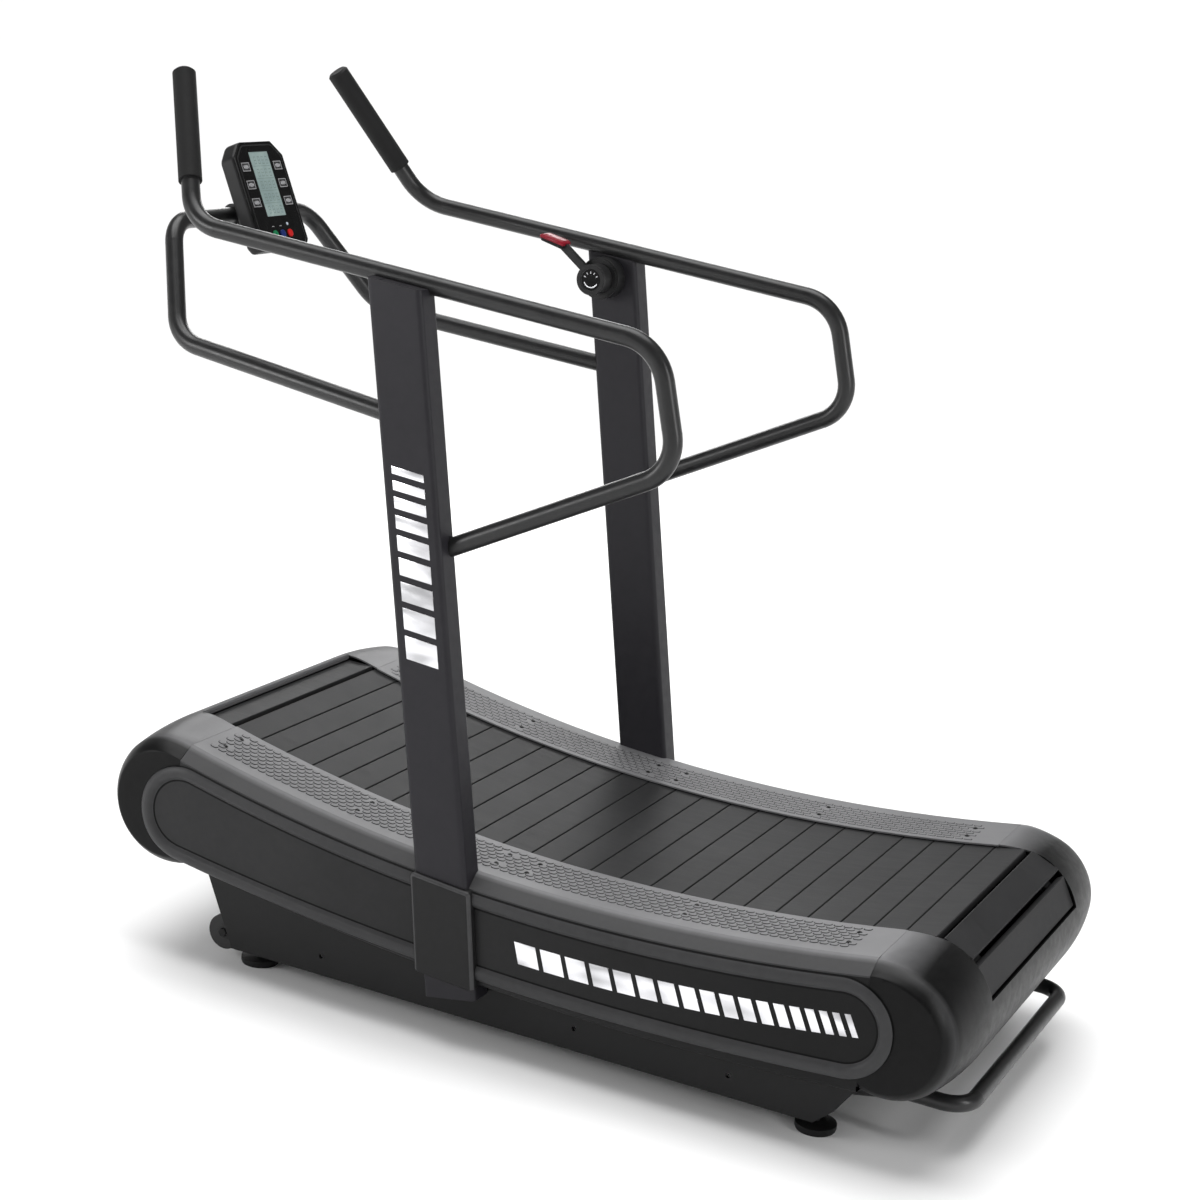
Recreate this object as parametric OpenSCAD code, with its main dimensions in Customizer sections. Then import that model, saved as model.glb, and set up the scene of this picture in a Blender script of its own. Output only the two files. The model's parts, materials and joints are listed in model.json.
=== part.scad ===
// Curved manual treadmill: slat belt on a concave track, handrails, console and brake lever.
// Millimetres. +X is forward, +Y is the runner's left, +Z is up, the floor is z = 0.

/* [Running deck] */
// Radius of the concave running surface
deck_r = 3270; // [3250:5:3300]
// Lowest height of the running surface
deck_low = 304; // [300:1:308]
// Position of the lowest point behind the middle
deck_low_x = -116; // [-125:1:-105]
// Radius of the slat faces on the front and rear pulleys
wrap_r = 102; // [100:0.5:103]
// Forward position of the front axle
front_axle_x = 718; // [714:1:722]
// Position of the rear axle
rear_axle_x = -686; // [-690:1:-682]
// Number of slats in the belt
slat_count = 58; // [57:1:58]
// Gap between two slats on the running surface
slat_gap = 1.6; // [1.2:0.1:3]
// Half length of a slat across the belt
slat_half = 249.5; // [247.5:0.5:249.5]

/* [Handrails] */
// Diameter of the handrail tubes
rail_d = 32; // [30:0.5:34]
// Distance of each handrail from the middle
rail_y = 387; // [384:0.5:390]
// Diameter of the hand grips
grip_d = 41; // [38:0.5:44]
// Diameter of the front bar that carries the console
bar_d = 32; // [30:0.5:34]

/* [Uprights] */
// Width of an upright, front to rear
post_w = 100; // [96:1:102]
// Forward lean of the uprights in degrees
post_lean = 9.78; // [9.5:0.01:10]
// Rounding of the upright's long edges
post_round = 9; // [4:1:12]

/* [Console] */
// Width of the console
console_w = 158; // [140:1:170]
// Tilt of the console face from vertical in degrees
console_tilt = 24.5; // [20:0.5:30]

/* [Feet and wheels] */
// Diameter of a levelling foot
foot_d = 70; // [60:1:74]
// Diameter of a transport wheel
wheel_d = 66; // [60:1:68]

/* [Hidden] */
$fn = 64;
// centre of the deck circle
deck_cx = deck_low_x;
deck_cz = deck_low + deck_r;
// axles lie where the wrap circles touch the deck circle from below
front_z = deck_cz - sqrt(pow(deck_r + wrap_r, 2) - pow(front_axle_x - deck_cx, 2));
rear_z = deck_cz - sqrt(pow(deck_r + wrap_r, 2) - pow(rear_axle_x - deck_cx, 2));
// pitch line of the toothed belts below the slat faces
neutral = 16;
slat_t = 11.8;
belt_top = 12;
belt_under = 20;
// lower run hangs on a large arc that touches both wrap circles
low_r = 7000;
axle_dx = front_axle_x - rear_axle_x;
axle_dz = front_z - rear_z;
axle_gap = sqrt(axle_dx * axle_dx + axle_dz * axle_dz);
low_rise = sqrt(pow(low_r - wrap_r + neutral, 2) - pow(axle_gap / 2, 2));
low_cx = (front_axle_x + rear_axle_x) / 2 - low_rise * axle_dz / axle_gap;
low_cz = (front_z + rear_z) / 2 + low_rise * axle_dx / axle_gap;
// contact angles, from straight down, positive toward the front
top_f = asin((front_axle_x - deck_cx) / (deck_r + wrap_r));
top_g = asin((rear_axle_x - deck_cx) / (deck_r + wrap_r));
low_f = atan2(front_axle_x - low_cx, low_cz - front_z);
low_g = atan2(rear_axle_x - low_cx, low_cz - rear_z);
rad = PI / 180;
wrap_n = wrap_r - neutral;
len_top = (deck_r + neutral) * (top_f - top_g) * rad;
len_front = wrap_n * (180 + top_f - low_f) * rad;
len_low = low_r * (low_f - low_g) * rad;
len_rear = wrap_n * (180 - top_g + low_g) * rad;
loop_len = len_top + len_front + len_low + len_rear;
pitch = loop_len / slat_count;
// a slat stands with its middle this far behind the rear contact point
slat_shift = 50.9;
slat_w = pitch * deck_r / (deck_r + neutral) - slat_gap;

// cover outlines
shoe_r = deck_r + 19;
rail_top = deck_r - 5;
cover_y = 421;
rim_y = 430;
sleeve_y = 438;
crease_y = 392;
pad_y = 247;
cap_y = 250;
front_seam = 676;
rear_seam = -640;
plate_y = 376;
frame_bot = 36;
// uprights
post_x0 = 131;
post_z0 = 302;
post_mid = 403;
post_t = 52;
// end caps of the covers, a little lower than the axles
front_cap_c = [709, 296];
front_cap_r = 132;
front_crease_r = 119;
rear_cap_c = [-676, 233];
rear_cap_r = 124.5;
rear_crease_r = 112;
// the numbers above run from the mid axle line; this moves the floor centre to the origin
to_origin = [-55, 0, 0];

// ---------- helpers ----------

// extrudes an XZ outline from y0 to y1
module along_y(y0, y1)
  translate([0, y1, 0])
    rotate([90, 0, 0])
      linear_extrude(y1 - y0)
        children();

// turns an outline of (radius, y) about a cross axis, angles from straight down toward the front
module turn(cx, cz, a0, a1, n)
  translate([cx, 0, cz])
    rotate([-90, 0, 0])
      rotate([0, 0, 90 - a1])
        rotate_extrude(angle = a1 - a0, $fn = n)
          children();

module full_turn(cx, cz, n)
  translate([cx, 0, cz])
    rotate([-90, 0, 0])
      rotate_extrude($fn = n)
        children();

module cross_rod(x, z, y0, y1, d, n = 48)
  translate([x, y0, z])
    rotate([-90, 0, 0])
      cylinder(h = y1 - y0, d = d, $fn = n);

module mirror_y(right)
  mirror([0, right ? 1 : 0, 0])
    children();

module round_box_2d(w, h, r) {
  square([w - 2 * r, h], center = true);
  square([w, h - 2 * r], center = true);
  for (sx = [-1, 1], sy = [-1, 1])
    translate([sx * (w / 2 - r), sy * (h / 2 - r)])
      circle(r = r, $fn = 32);
}

function vlen(v) = sqrt(v * v);
function unit(v) = v / vlen(v);

// straight bar between two points
module rod(a, b, d, n = 48) {
  v = b - a;
  l = vlen(v);
  translate(a)
    rotate([0, acos(v[2] / l), atan2(v[1], v[0])])
      cylinder(h = l, d = d, $fn = n);
}

// ---------- bent tubes: corner points p and the bend radius r at each ----------

function heading(p, i) = unit(p[i + 1] - p[i]);
function bend_at(p, i) = acos(heading(p, i - 1) * heading(p, i));
function trim_at(p, r, i) = i < 1 || i > len(p) - 2 ? 0 : r[i] * tan(bend_at(p, i) / 2);
function straight(p, r, i) = vlen(p[i + 1] - p[i]) - trim_at(p, r, i) - trim_at(p, r, i + 1);
// direction from the tube toward the centre of bend i, before and after the bend
function inward(p, i) = let (u = heading(p, i - 1), w = heading(p, i)) unit(w - u * (u * w));
function after(p, i) = inward(p, i) * cos(bend_at(p, i)) - heading(p, i - 1) * sin(bend_at(p, i));
// turn of the bending plane between bend i - 1 and bend i
function roll_at(p, i) = i < 2 ? 0
  : let (x = after(p, i - 1), n = inward(p, i)) atan2(cross(x, n) * heading(p, i - 1), x * n);

module elbow(r, a, d)
  translate([r, 0, 0])
    rotate([90, 0, 180])
      rotate_extrude(angle = a, $fn = 96)
        translate([r, 0])
          circle(d = d, $fn = 48);

// faint mark that the bending die leaves at each end of a bend
module die_mark(d)
  translate([0, 0, -1.5])
    cylinder(h = 3, d = d + 0.12, $fn = 48);

module tube_run(p, r, d, i) {
  cylinder(h = straight(p, r, i), d = d, $fn = 48);
  if (i < len(p) - 2)
    translate([0, 0, straight(p, r, i)])
      rotate([0, 0, roll_at(p, i + 1)]) {
        die_mark(d);
        elbow(r[i + 1], bend_at(p, i + 1), d);
        translate([r[i + 1], 0, 0])
          rotate([0, bend_at(p, i + 1), 0])
            translate([-r[i + 1], 0, 0]) {
              die_mark(d);
              tube_run(p, r, d, i + 1);
            }
      }
}

module solid_tube(p, r, d) {
  u = heading(p, 0);
  n = inward(p, 1);
  v = cross(u, n);
  multmatrix([[n[0], v[0], u[0], p[0][0]],
    [n[1], v[1], u[1], p[0][1]],
    [n[2], v[2], u[2], p[0][2]],
    [0, 0, 0, 1]])
    tube_run(p, r, d, 0);
}

module bent_tube(p, r, d, wall)
  difference() {
    solid_tube(p, r, d);
    solid_tube(p, r, d - 2 * wall);
  }

// ---------- belt ----------

function on_circle(cx, cz, r, a) = [cx + r * sin(a), cz - r * cos(a)];
// place of a slat at the arc length s: x, z and turn
function slat_at(s) =
  s < len_top ? let (a = top_g + s / (deck_r + neutral) / rad)
    concat(on_circle(deck_cx, deck_cz, deck_r, a), [a])
  : s < len_top + len_front ? let (a = (s - len_top) / wrap_n / rad - top_f)
    [front_axle_x + wrap_r * sin(a), front_z + wrap_r * cos(a), -a]
  : s < len_top + len_front + len_low ? let (a = low_f - (s - len_top - len_front) / low_r / rad)
    concat(on_circle(low_cx, low_cz, low_r + neutral, a), [180 + a])
  : let (a = 180 + low_g - (s - len_top - len_front - len_low) / wrap_n / rad)
    [rear_axle_x - wrap_r * sin(a), rear_z + wrap_r * cos(a), a];
function wrap_len(s) = s - floor(s / loop_len) * loop_len;

// everything inside the belt at a depth below the slat faces; the middle band stops just short
// of the points where the arcs touch the end circles
short = 0.02;
module loop_2d(depth) {
  translate([front_axle_x, front_z])
    circle(r = wrap_r - depth, $fn = 180);
  translate([rear_axle_x, rear_z])
    circle(r = wrap_r - depth, $fn = 180);
  intersection() {
    difference() {
      polygon([on_circle(deck_cx, deck_cz, deck_r - 80, top_g + short),
        on_circle(deck_cx, deck_cz, deck_r + wrap_r, top_g + short),
        on_circle(low_cx, low_cz, low_r + 120, low_g + short),
        on_circle(low_cx, low_cz, low_r + 120, low_f - short),
        on_circle(deck_cx, deck_cz, deck_r + wrap_r, top_f - short),
        on_circle(deck_cx, deck_cz, deck_r - 80, top_f - short)]);
      translate([deck_cx, deck_cz])
        circle(r = deck_r + depth, $fn = 2880);
    }
    translate([low_cx, low_cz])
      circle(r = low_r + neutral - depth, $fn = 2880);
  }
}

module slat() {
  along_y(-slat_half, slat_half)
    polygon([[-slat_w / 2, -slat_t], [slat_w / 2, -slat_t], [slat_w / 2, -1.2],
      [slat_w / 2 - 1.2, 0], [1.2 - slat_w / 2, 0], [-slat_w / 2, -1.2]]);
  along_y(-178, 178)
    translate([-3, -34])
      square([6, 34 - slat_t + 1]);
}

module belt_slats()
  color([0.20, 0.20, 0.21]) translate(to_origin)
    for (k = [0 : slat_count - 1]) {
      q = slat_at(wrap_len(k * pitch - slat_shift));
      translate([q[0], 0, q[1]])
        rotate([0, -q[2], 0])
          slat();
    }

module belt_loops()
  color([0.08, 0.08, 0.08]) translate(to_origin)
    for (s = [-1, 1])
      along_y(s * 205 - 15, s * 205 + 15)
        difference() {
          loop_2d(belt_top);
          loop_2d(belt_under);
        }

// angle of the first support bearing from straight down, and the steps that follow it
bearing_first = -8.25;
bearing_step = 1.41;
bearing_n = 15;
bearing_r = deck_r + belt_under + 17.7;
function bearing_at(k) =
  on_circle(deck_cx, deck_cz, bearing_r, bearing_first + k * bearing_step);

module support_bearings()
  color([0.72, 0.73, 0.75]) translate(to_origin)
    for (s = [-1, 1], k = [0 : bearing_n])
      let (q = bearing_at(k))
        difference() {
          cross_rod(q[0], q[1], s * 205 - 5.5, s * 205 + 5.5, 35);
          cross_rod(q[0], q[1], s * 205 - 6, s * 205 + 6, 12.04);
        }

module bearing_bolts()
  color([0.55, 0.56, 0.58]) translate(to_origin)
    for (s = [-1, 1], k = [0 : bearing_n])
      let (q = bearing_at(k)) {
        cross_rod(q[0], q[1], s > 0 ? 194 : -247.5, s > 0 ? 247.5 : -194, 12);
        cross_rod(q[0], q[1], s > 0 ? 194 : -199.3, s > 0 ? 199.3 : -194, 17);
        cross_rod(q[0], q[1], s > 0 ? 240 : -247.5, s > 0 ? 247.5 : -240, 19, 6);
        cross_rod(q[0], q[1], s > 0 ? 210.7 : -232, s > 0 ? 232 : -210.7, 17);
      }

// ---------- frame ----------

cross_pos = [[-430, 228], [30, 225], [370, 240]];

module cross_hole_2d(w, h)
  for (q = cross_pos)
    translate(q)
      square([w, h], center = true);

module side_plate(right)
  color([0.10, 0.10, 0.105]) translate(to_origin)
    mirror_y(right)
      difference() {
        along_y(plate_y - 6, plate_y)
          difference() {
            polygon([[-560, frame_bot], [576, frame_bot], [633, 163], [668, 240], [668, 400],
              [-632, 400], [-632, 150], [-626, 112], [-594, 66]]);
            translate([deck_cx, deck_cz])
              circle(r = deck_r + 30, $fn = 2880);
          }
        for (q = [[386, 72], [150, 80], [-120, 76], [-406, 74]])
          cross_rod(q[0], q[1], plate_y - 7, plate_y + 1, 9, 24);
        for (q = post_bolts)
          cross_rod(q[0], q[1], plate_y - 7, plate_y + 1, 12.04, 24);
      }

module inner_plates()
  color([0.14, 0.14, 0.145]) translate(to_origin)
    for (right = [false, true])
      mirror_y(right)
      difference() {
        along_y(232, 240)
          difference() {
            loop_2d(27);
            cross_hole_2d(50, 40);
            for (x = [-560, -310, -200, -90, 150, 260, 475, 590])
              translate([x, 228 + 4e-5 * x * x + 0.035 * x])
                circle(d = 52, $fn = 48);
          }
        for (k = [0 : bearing_n])
          let (q = bearing_at(k))
            cross_rod(q[0], q[1], 231, 241, 12.04);
        cross_rod(front_axle_x, front_z, 231, 241, 52);
        cross_rod(rear_axle_x, rear_z, 231, 241, 52);
      }

module rect_tube(x, z, w, h, t)
  along_y(6 - plate_y, plate_y - 6)
    translate([x, z])
      difference() {
        round_box_2d(w, h, 4);
        square([w - 2 * t, h - 2 * t], center = true);
      }

module base_tubes()
  color([0.12, 0.12, 0.125]) translate(to_origin)
    for (x = [-531, 0, 540])
      difference() {
        rect_tube(x, 62, 70, 40, 3);
        if (x != 0)
          for (s = [-1, 1])
            translate([sign(x) * 548, s * 321, 30])
              cylinder(h = 60, d = 14, $fn = 32);
      }

module upper_cross_tubes()
  color([0.12, 0.12, 0.125]) translate(to_origin)
    for (q = cross_pos)
      rect_tube(q[0], q[1], 49.9, 39.9, 2.5);

// ---------- uprights ----------

post_bolts = [[102, 150], [137, 150], [113, 215], [148, 215]];

module in_post()
  translate([post_x0, 0, post_z0])
    rotate([0, post_lean, 0])
      children();

module post_body(grow)
  in_post()
    translate([0, post_mid, -215])
      linear_extrude(1260)
        round_box_2d(post_w + 2 * grow, post_t + 2 * grow, post_round + grow);

rail_pts = [[852, 254, 1564], [726, rail_y, 1333], [-162, rail_y, 1255],
  [-213, rail_y, 1063], [206, rail_y, 851.4]];
function rail_z(x) = rail_pts[2][2] + (x - rail_pts[2][0]) * (rail_pts[1][2] - rail_pts[2][2])
  / (rail_pts[1][0] - rail_pts[2][0]);

module upright(right)
  color([0.13, 0.13, 0.14]) translate(to_origin)
    mirror_y(right)
      difference() {
        post_body(0);
        in_post()
          translate([0, post_mid, -220])
            linear_extrude(1230)
              round_box_2d(post_w - 6, post_t - 6, post_round - 3);
        along_y(300, 500)
          polygon([[0, rail_z(0) - 5], [600, rail_z(600) - 5], [600, 1500], [0, 1500]]);
        rod(rail_pts[1], rail_pts[2], rail_d + 0.02);
        for (q = post_bolts)
          cross_rod(q[0], q[1], plate_y, plate_y + 8, 12.04, 24);
      }

module upright_bolts()
  color([0.35, 0.35, 0.37]) translate(to_origin)
    for (s = [-1, 1], q = post_bolts) {
      cross_rod(q[0], q[1], s > 0 ? 362 : -388, s > 0 ? 388 : -362, 12, 24);
      cross_rod(q[0], q[1], s > 0 ? 362 : -370, s > 0 ? 370 : -362, 21, 6);
      cross_rod(q[0], q[1], s > 0 ? 380 : -388, s > 0 ? 388 : -380, 20, 24);
    }

// ---------- handrails ----------

bar_pts = [[300, 395, 1069.6], [781, 337, 1119], [889, 216, 1306]];

module handrail(right)
  color([0.12, 0.12, 0.125]) translate(to_origin)
    mirror_y(right)
      difference() {
        bent_tube(rail_pts, [0, 90, 85, 70, 0], rail_d, 2);
        post_inner_cut();
      }

// keeps the lower tube out of the upright
module post_inner_cut()
  in_post()
    translate([0, post_mid, 400])
      linear_extrude(350)
        round_box_2d(post_w, post_t, post_round);

grip_len = 212;
grip_a = rail_pts[0];
grip_dir = unit(rail_pts[1] - rail_pts[0]);

module grips()
  color([0.07, 0.07, 0.07]) translate(to_origin)
    for (right = [false, true])
      mirror_y(right)
      difference() {
        union() {
          rod(grip_a - grip_dir * 7, grip_a + grip_dir * grip_len, grip_d);
          translate(grip_a - grip_dir * 7)
            rotate([0, acos(-grip_dir[2]), atan2(-grip_dir[1], -grip_dir[0])])
              cylinder(h = 4, r1 = grip_d / 2, r2 = grip_d / 2 - 4, $fn = 48);
        }
        rod(grip_a, grip_a + grip_dir * (grip_len + 1), rail_d);
      }

function other_side(q) = [q[0], -q[1], q[2]];
module front_bar()
  color([0.12, 0.12, 0.125]) translate(to_origin)
    difference() {
      bent_tube([bar_pts[0], bar_pts[1], bar_pts[2], other_side(bar_pts[2]),
        other_side(bar_pts[1]), other_side(bar_pts[0])], [0, 90, 80, 80, 90, 0], bar_d, 2);
      for (right = [false, true])
        mirror_y(right)
          in_post()
            translate([0, post_mid, 600])
              linear_extrude(400)
                round_box_2d(post_w, post_t, post_round);
    }

// ---------- console ----------

console_at = [785, 0, 1257];
module in_console()
  translate(console_at)
    rotate([0, console_tilt, 0])
      children();

// outline across the console face, local y and z
module console_2d(inset) {
  w = console_w / 2 - inset;
  polygon([[-w + 10, inset], [w - 10, inset], [w, 12 + inset], [w, 178 - inset / 2],
    [w - 28, 206 - inset], [28 - w, 206 - inset], [-w, 178 - inset / 2], [-w, 12 + inset]]);
}

module in_face(x0, x1)
  translate([x0, 0, 0])
    rotate([90, 0, 90])
      linear_extrude(x1 - x0)
        children();

button_pos = [[24, 28, "g"], [0, 28, "b"], [-24, 28, "r"]];

module console_housing()
  color([0.15, 0.15, 0.16]) translate(to_origin)
    in_console()
      difference() {
        in_face(3, 32)
          console_2d(0);
        in_face(2, 29)
          console_2d(4);
      }

module console_face()
  color([0.06, 0.06, 0.065]) translate(to_origin)
    in_console()
      difference() {
        in_face(0, 3)
          console_2d(1.5);
        in_face(-1, 1.5)
          translate([-31, 62])
            square([62, 124]);
        for (q = button_pos)
          translate([-1, q[0], q[1]])
            rotate([0, 90, 0])
              cylinder(h = 6, d = 15.2, $fn = 32);
        for (s = [-1, 1], k = [0 : 2])
          in_face(-1, 0.8)
            translate([s * 52, 158 - 34 * k])
              square([26, 18], center = true);
      }

module console_display()
  color([0.52, 0.60, 0.56]) translate(to_origin)
    in_console()
      in_face(0.6, 1.5)
        translate([-30.5, 62.5])
          square([61, 123]);

module console_legends()
  color([0.75, 0.75, 0.75]) translate(to_origin)
    in_console()
      for (s = [-1, 1], k = [0 : 2])
        in_face(0.3, 0.8)
          translate([s * 52, 158 - 34 * k])
            square([25, 17], center = true);

module console_back()
  color([0.10, 0.10, 0.105]) translate(to_origin)
    in_console() {
      in_face(32, 36)
        console_2d(1);
      in_face(36, 42)
        translate([-38, 30])
          square([76, 120]);
    }

module button(k, c)
  color(c) translate(to_origin)
    in_console()
      translate([-2.2, button_pos[k][0], button_pos[k][1]])
        rotate([0, 90, 0]) {
          cylinder(h = 8, d = 14.8, $fn = 32);
          translate([0, 0, 6])
            cylinder(h = 2, d = 17.5, $fn = 32);
        }

// clamp that holds the console on the front bar
module console_clamp()
  color([0.14, 0.14, 0.145]) translate(to_origin)
    difference() {
      union() {
        cross_rod(bar_pts[2][0], bar_pts[2][2], -32, 32, bar_d + 12);
        along_y(-24, 24)
          polygon([[850, 1290], [889, 1284], [889, 1328], [862, 1322]]);
      }
      cross_rod(bar_pts[2][0], bar_pts[2][2], -40, 40, bar_d + 0.02);
      in_console()
        translate([-50, -60, -50])
          cube([92, 120, 300]);
    }

// ---------- covers ----------

// half profile of a cap, radius and y: crowned barrel, rounded shoulder, flat end
shoulder_r = 70;
function crown(rc, rk, t) =
  let (w = crease_y - cap_y, sag = rc - rk, arc = (w * w + sag * sag) / (2 * sag), n = 6)
    [for (i = [0 : n]) let (f = asin(w / arc) * i / n)
      [rc - arc + (arc - t) * cos(f), cap_y + (arc - t) * sin(f)]];
function shoulder(rk, t) =
  let (h = cover_y - crease_y, drop = 20, half = sqrt(drop * drop + h * h) / 2,
    off = sqrt(shoulder_r * shoulder_r - half * half),
    cx = rk - drop / 2 - off * h / (2 * half), cy = crease_y + h / 2 - off * drop / (2 * half),
    a0 = atan2(crease_y - cy, rk - cx), a1 = asin((h + crease_y - t - cy) / (shoulder_r - t)), n = 5)
    [for (i = [1 : n]) let (f = a0 + (a1 - a0) * i / n)
      [cx + (shoulder_r - t) * cos(f), cy + (shoulder_r - t) * sin(f)]];
function cap_side(rc, rk, t) = concat(crown(rc, rk, t), shoulder(rk, t), [[0, cover_y - t]]);
function reversed(v) = [for (i = [len(v) - 1 : -1 : 0]) v[i]];
function mirrored(v) = [for (q = v) [q[0], -q[1]]];

// whole profile of a cap, drawn inward by t
module cap_2d(rc, rk, t) {
  side = cap_side(rc, rk, t);
  polygon(concat(reversed(mirrored(side)), side));
}

ramp_slope = 17;
ramp_r = 60;
// limit of the front cap above the seam with the foot rails
module ramp_2d() {
  n = [-sin(ramp_slope), cos(ramp_slope)];
  p0 = [front_seam, 406];
  f = front_cap_c;
  d0 = (p0 - f) * n;
  a = acos((d0 - ramp_r) / (front_cap_r - ramp_r)) - ramp_slope;
  c = f + (front_cap_r + 0.05 - ramp_r) * [sin(a), cos(a)];
  q = c + ramp_r * n - 1.2 * [cos(ramp_slope), sin(ramp_slope)];
  polygon([p0, [600, 382], [600, 100], [900, 100], [900, 400], c + 90 * [sin(a), cos(a)], c, q]);
  translate(c)
    circle(r = ramp_r, $fn = 180);
}

// the ramp keeps the rounded outer edge of the foot rails
module ramp_edge()
  translate([front_seam, 0, 406])
    rotate([0, -ramp_slope, 0])
      translate([-200, 0, 0])
        rotate([90, 0, 90])
          linear_extrude(600)
            polygon([[-384, 0], [-392, -2.5], [-408, -12], [-422, -20.5], [-422, -400],
              [422, -400], [422, -20.5], [408, -12], [392, -2.5], [384, 0]]);

// the front cap as a full body, with every face t further in
module front_cap_body(t)
  intersection() {
    full_turn(front_cap_c[0], front_cap_c[1], 180)
      cap_2d(front_cap_r, front_crease_r, t);
    translate([0, 0, -t])
      along_y(-450, 450)
        ramp_2d();
    translate([0, 0, -t])
      ramp_edge();
    translate([front_seam - t, -450, 0])
      cube([300, 900, 600]);
  }

lip_x = 747;
module front_cap()
  color([0.24, 0.24, 0.25]) translate(to_origin) {
    difference() {
      front_cap_body(0);
      front_cap_body(4);
      translate([600, -cap_y, front_z])
        cube([lip_x - 600, 2 * cap_y, 300]);
      translate([600, -cap_y, 100])
        cube([88, 2 * cap_y, 150]);
    }
    // lip turned down to the belt
    along_y(-cap_y - 2, cap_y + 2)
      translate([lip_x, 413.5])
        square([4, 7]);
  }

module rear_cap()
  color([0.24, 0.24, 0.25]) translate(to_origin)
    difference() {
      intersection() {
        full_turn(rear_cap_c[0], rear_cap_c[1], 180)
          cap_2d(rear_cap_r, rear_crease_r, 0);
        translate([rear_seam - 300, -450, 0])
          cube([300, 900, 600]);
      }
      full_turn(rear_cap_c[0], rear_cap_c[1], 180)
        cap_2d(rear_cap_r, rear_crease_r, 3.6);
      translate([-900, -cap_y, 270])
        cube([300, 2 * cap_y, 200]);
      translate([-700, -cap_y, 100])
        cube([150, 2 * cap_y, 100]);
    }

module foot_rail(right)
  color([0.42, 0.42, 0.43]) translate(to_origin)
    mirror_y(right)
      difference() {
        intersection() {
          turn(deck_cx, deck_cz, -9.6, 14.6, 2880)
            polygon([[rail_top, pad_y], [rail_top, 384], [rail_top + 2.5, crease_y],
              [rail_top + 12, 408], [rail_top + 20, cover_y], [deck_r + 28, cover_y],
              [deck_r + 28, cover_y - 3.5], [rail_top + 21, cover_y - 3.5],
              [rail_top + 4.6, crease_y - 2], [rail_top + 3.2, 384], [rail_top + 3.2, pad_y]]);
          translate([rear_seam + 0.3, 200, 0])
            cube([front_seam - rear_seam - 0.6, 300, 600]);
        }
        post_body(0.5);
      }

// room for glue between the strips and the foot rails
strip_gap = 0.06;
module tread_strips()
  color([0.38, 0.38, 0.39]) translate(to_origin)
    for (right = [false, true])
      mirror_y(right)
      difference() {
        turn(deck_cx, deck_cz, -8.3, 13.55, 2880)
          polygon([[rail_top - 1.2, 261], [rail_top - 1.2, 357], [rail_top - strip_gap, 358],
            [rail_top - strip_gap, 260]]);
        screw_holes(6.04);
      }

tread_x = [-570, -282, 15, 75, 357, 640];
module screw_holes(d)
  for (x = tread_x, y = [283, 333])
    let (a = asin((x - deck_cx) / rail_top))
      translate([x, y, deck_cz - rail_top * cos(a)])
        rotate([0, -a, 0])
          translate([0, 0, -8])
            cylinder(h = 14, d = d, $fn = 24);

module tread_screws()
  color([0.10, 0.10, 0.10]) translate(to_origin)
    for (s = [-1, 1], x = tread_x, y = [283, 333])
      let (a = asin((x - deck_cx) / rail_top))
        translate([x, s * y, deck_cz - rail_top * cos(a)])
          rotate([0, -a, 0])
            difference() {
              translate([0, 0, 0.01])
                cylinder(h = 2, d = 6, $fn = 24);
              translate([0, 0, 1])
                cylinder(h = 2, d = 3, $fn = 6);
            }

// racetrack outline of the side covers, grown inward by inset
race_front = [665, 287.6];
race_rear = [-605, 234.6];
module race_2d(inset) {
  translate(race_front)
    circle(r = 88.8 - inset, $fn = 180);
  translate(race_rear)
    circle(r = 86 - inset, $fn = 180);
  intersection() {
    difference() {
      polygon([race_rear, [-590, 420], [640, 480], race_front, [680, 150], [-614, 100]]);
      translate([deck_cx, deck_cz])
        circle(r = shoe_r + inset, $fn = 2880);
    }
    translate([-173, 5458.9])
      circle(r = 5328 - inset, $fn = 2880);
  }
}

// flat of the cover behind the racetrack, down to its lower edge
module margin_2d(r)
  intersection() {
    difference() {
      translate([rear_seam + 0.3, 90])
        square([front_seam - rear_seam - 0.6, 300]);
      translate([deck_cx, deck_cz])
        circle(r = shoe_r + 30, $fn = 2880);
    }
    translate([-250, 5414.5])
      circle(r = r, $fn = 2880);
  }

sleeve_lean = 0.135;
module sleeve_2d(grow)
  polygon([[187 + grow + 3, 326], [187 + grow - (304 - 90) * sleeve_lean, 90],
    [69.6 - grow - (304 - 90) * sleeve_lean, 90], [69.6 - grow + 3, 326]]);

// front and rear covers meet behind the sleeve
module side_cover(right)
  color([0.17, 0.17, 0.18]) translate(to_origin)
    mirror_y(right)
      difference() {
        union() {
          along_y(cover_y - 4, cover_y + 0.1)
            margin_2d(5300);
          along_y(crease_y, cover_y + 0.1)
            difference() {
              margin_2d(5300);
              margin_2d(5296);
            }
          along_y(cover_y + 0.1, rim_y)
            race_2d(0);
        }
        along_y(cover_y + 2.8, rim_y + 1)
          race_2d(17);
        along_y(380, 450)
          sleeve_2d(0.3);
      }

// top line of the sleeve falls toward the rear with the deck
module sleeve_top_2d()
  polygon([[-50, 281], [300, 315], [300, 60], [-50, 60]]);

module sleeves()
  color([0.13, 0.13, 0.14]) translate(to_origin)
    for (right = [false, true])
      mirror_y(right)
      difference() {
        along_y(cover_y + 0.3, sleeve_y)
          intersection() {
            sleeve_2d(0);
            sleeve_top_2d();
            translate([-250, 5414.5])
              circle(r = 5300, $fn = 2880);
          }
        along_y(cover_y, sleeve_y - 4)
          intersection() {
            sleeve_2d(-4);
            translate([0, -5])
              sleeve_top_2d();
          }
        post_body(0.3);
      }

// ---------- lift handle ----------

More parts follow.
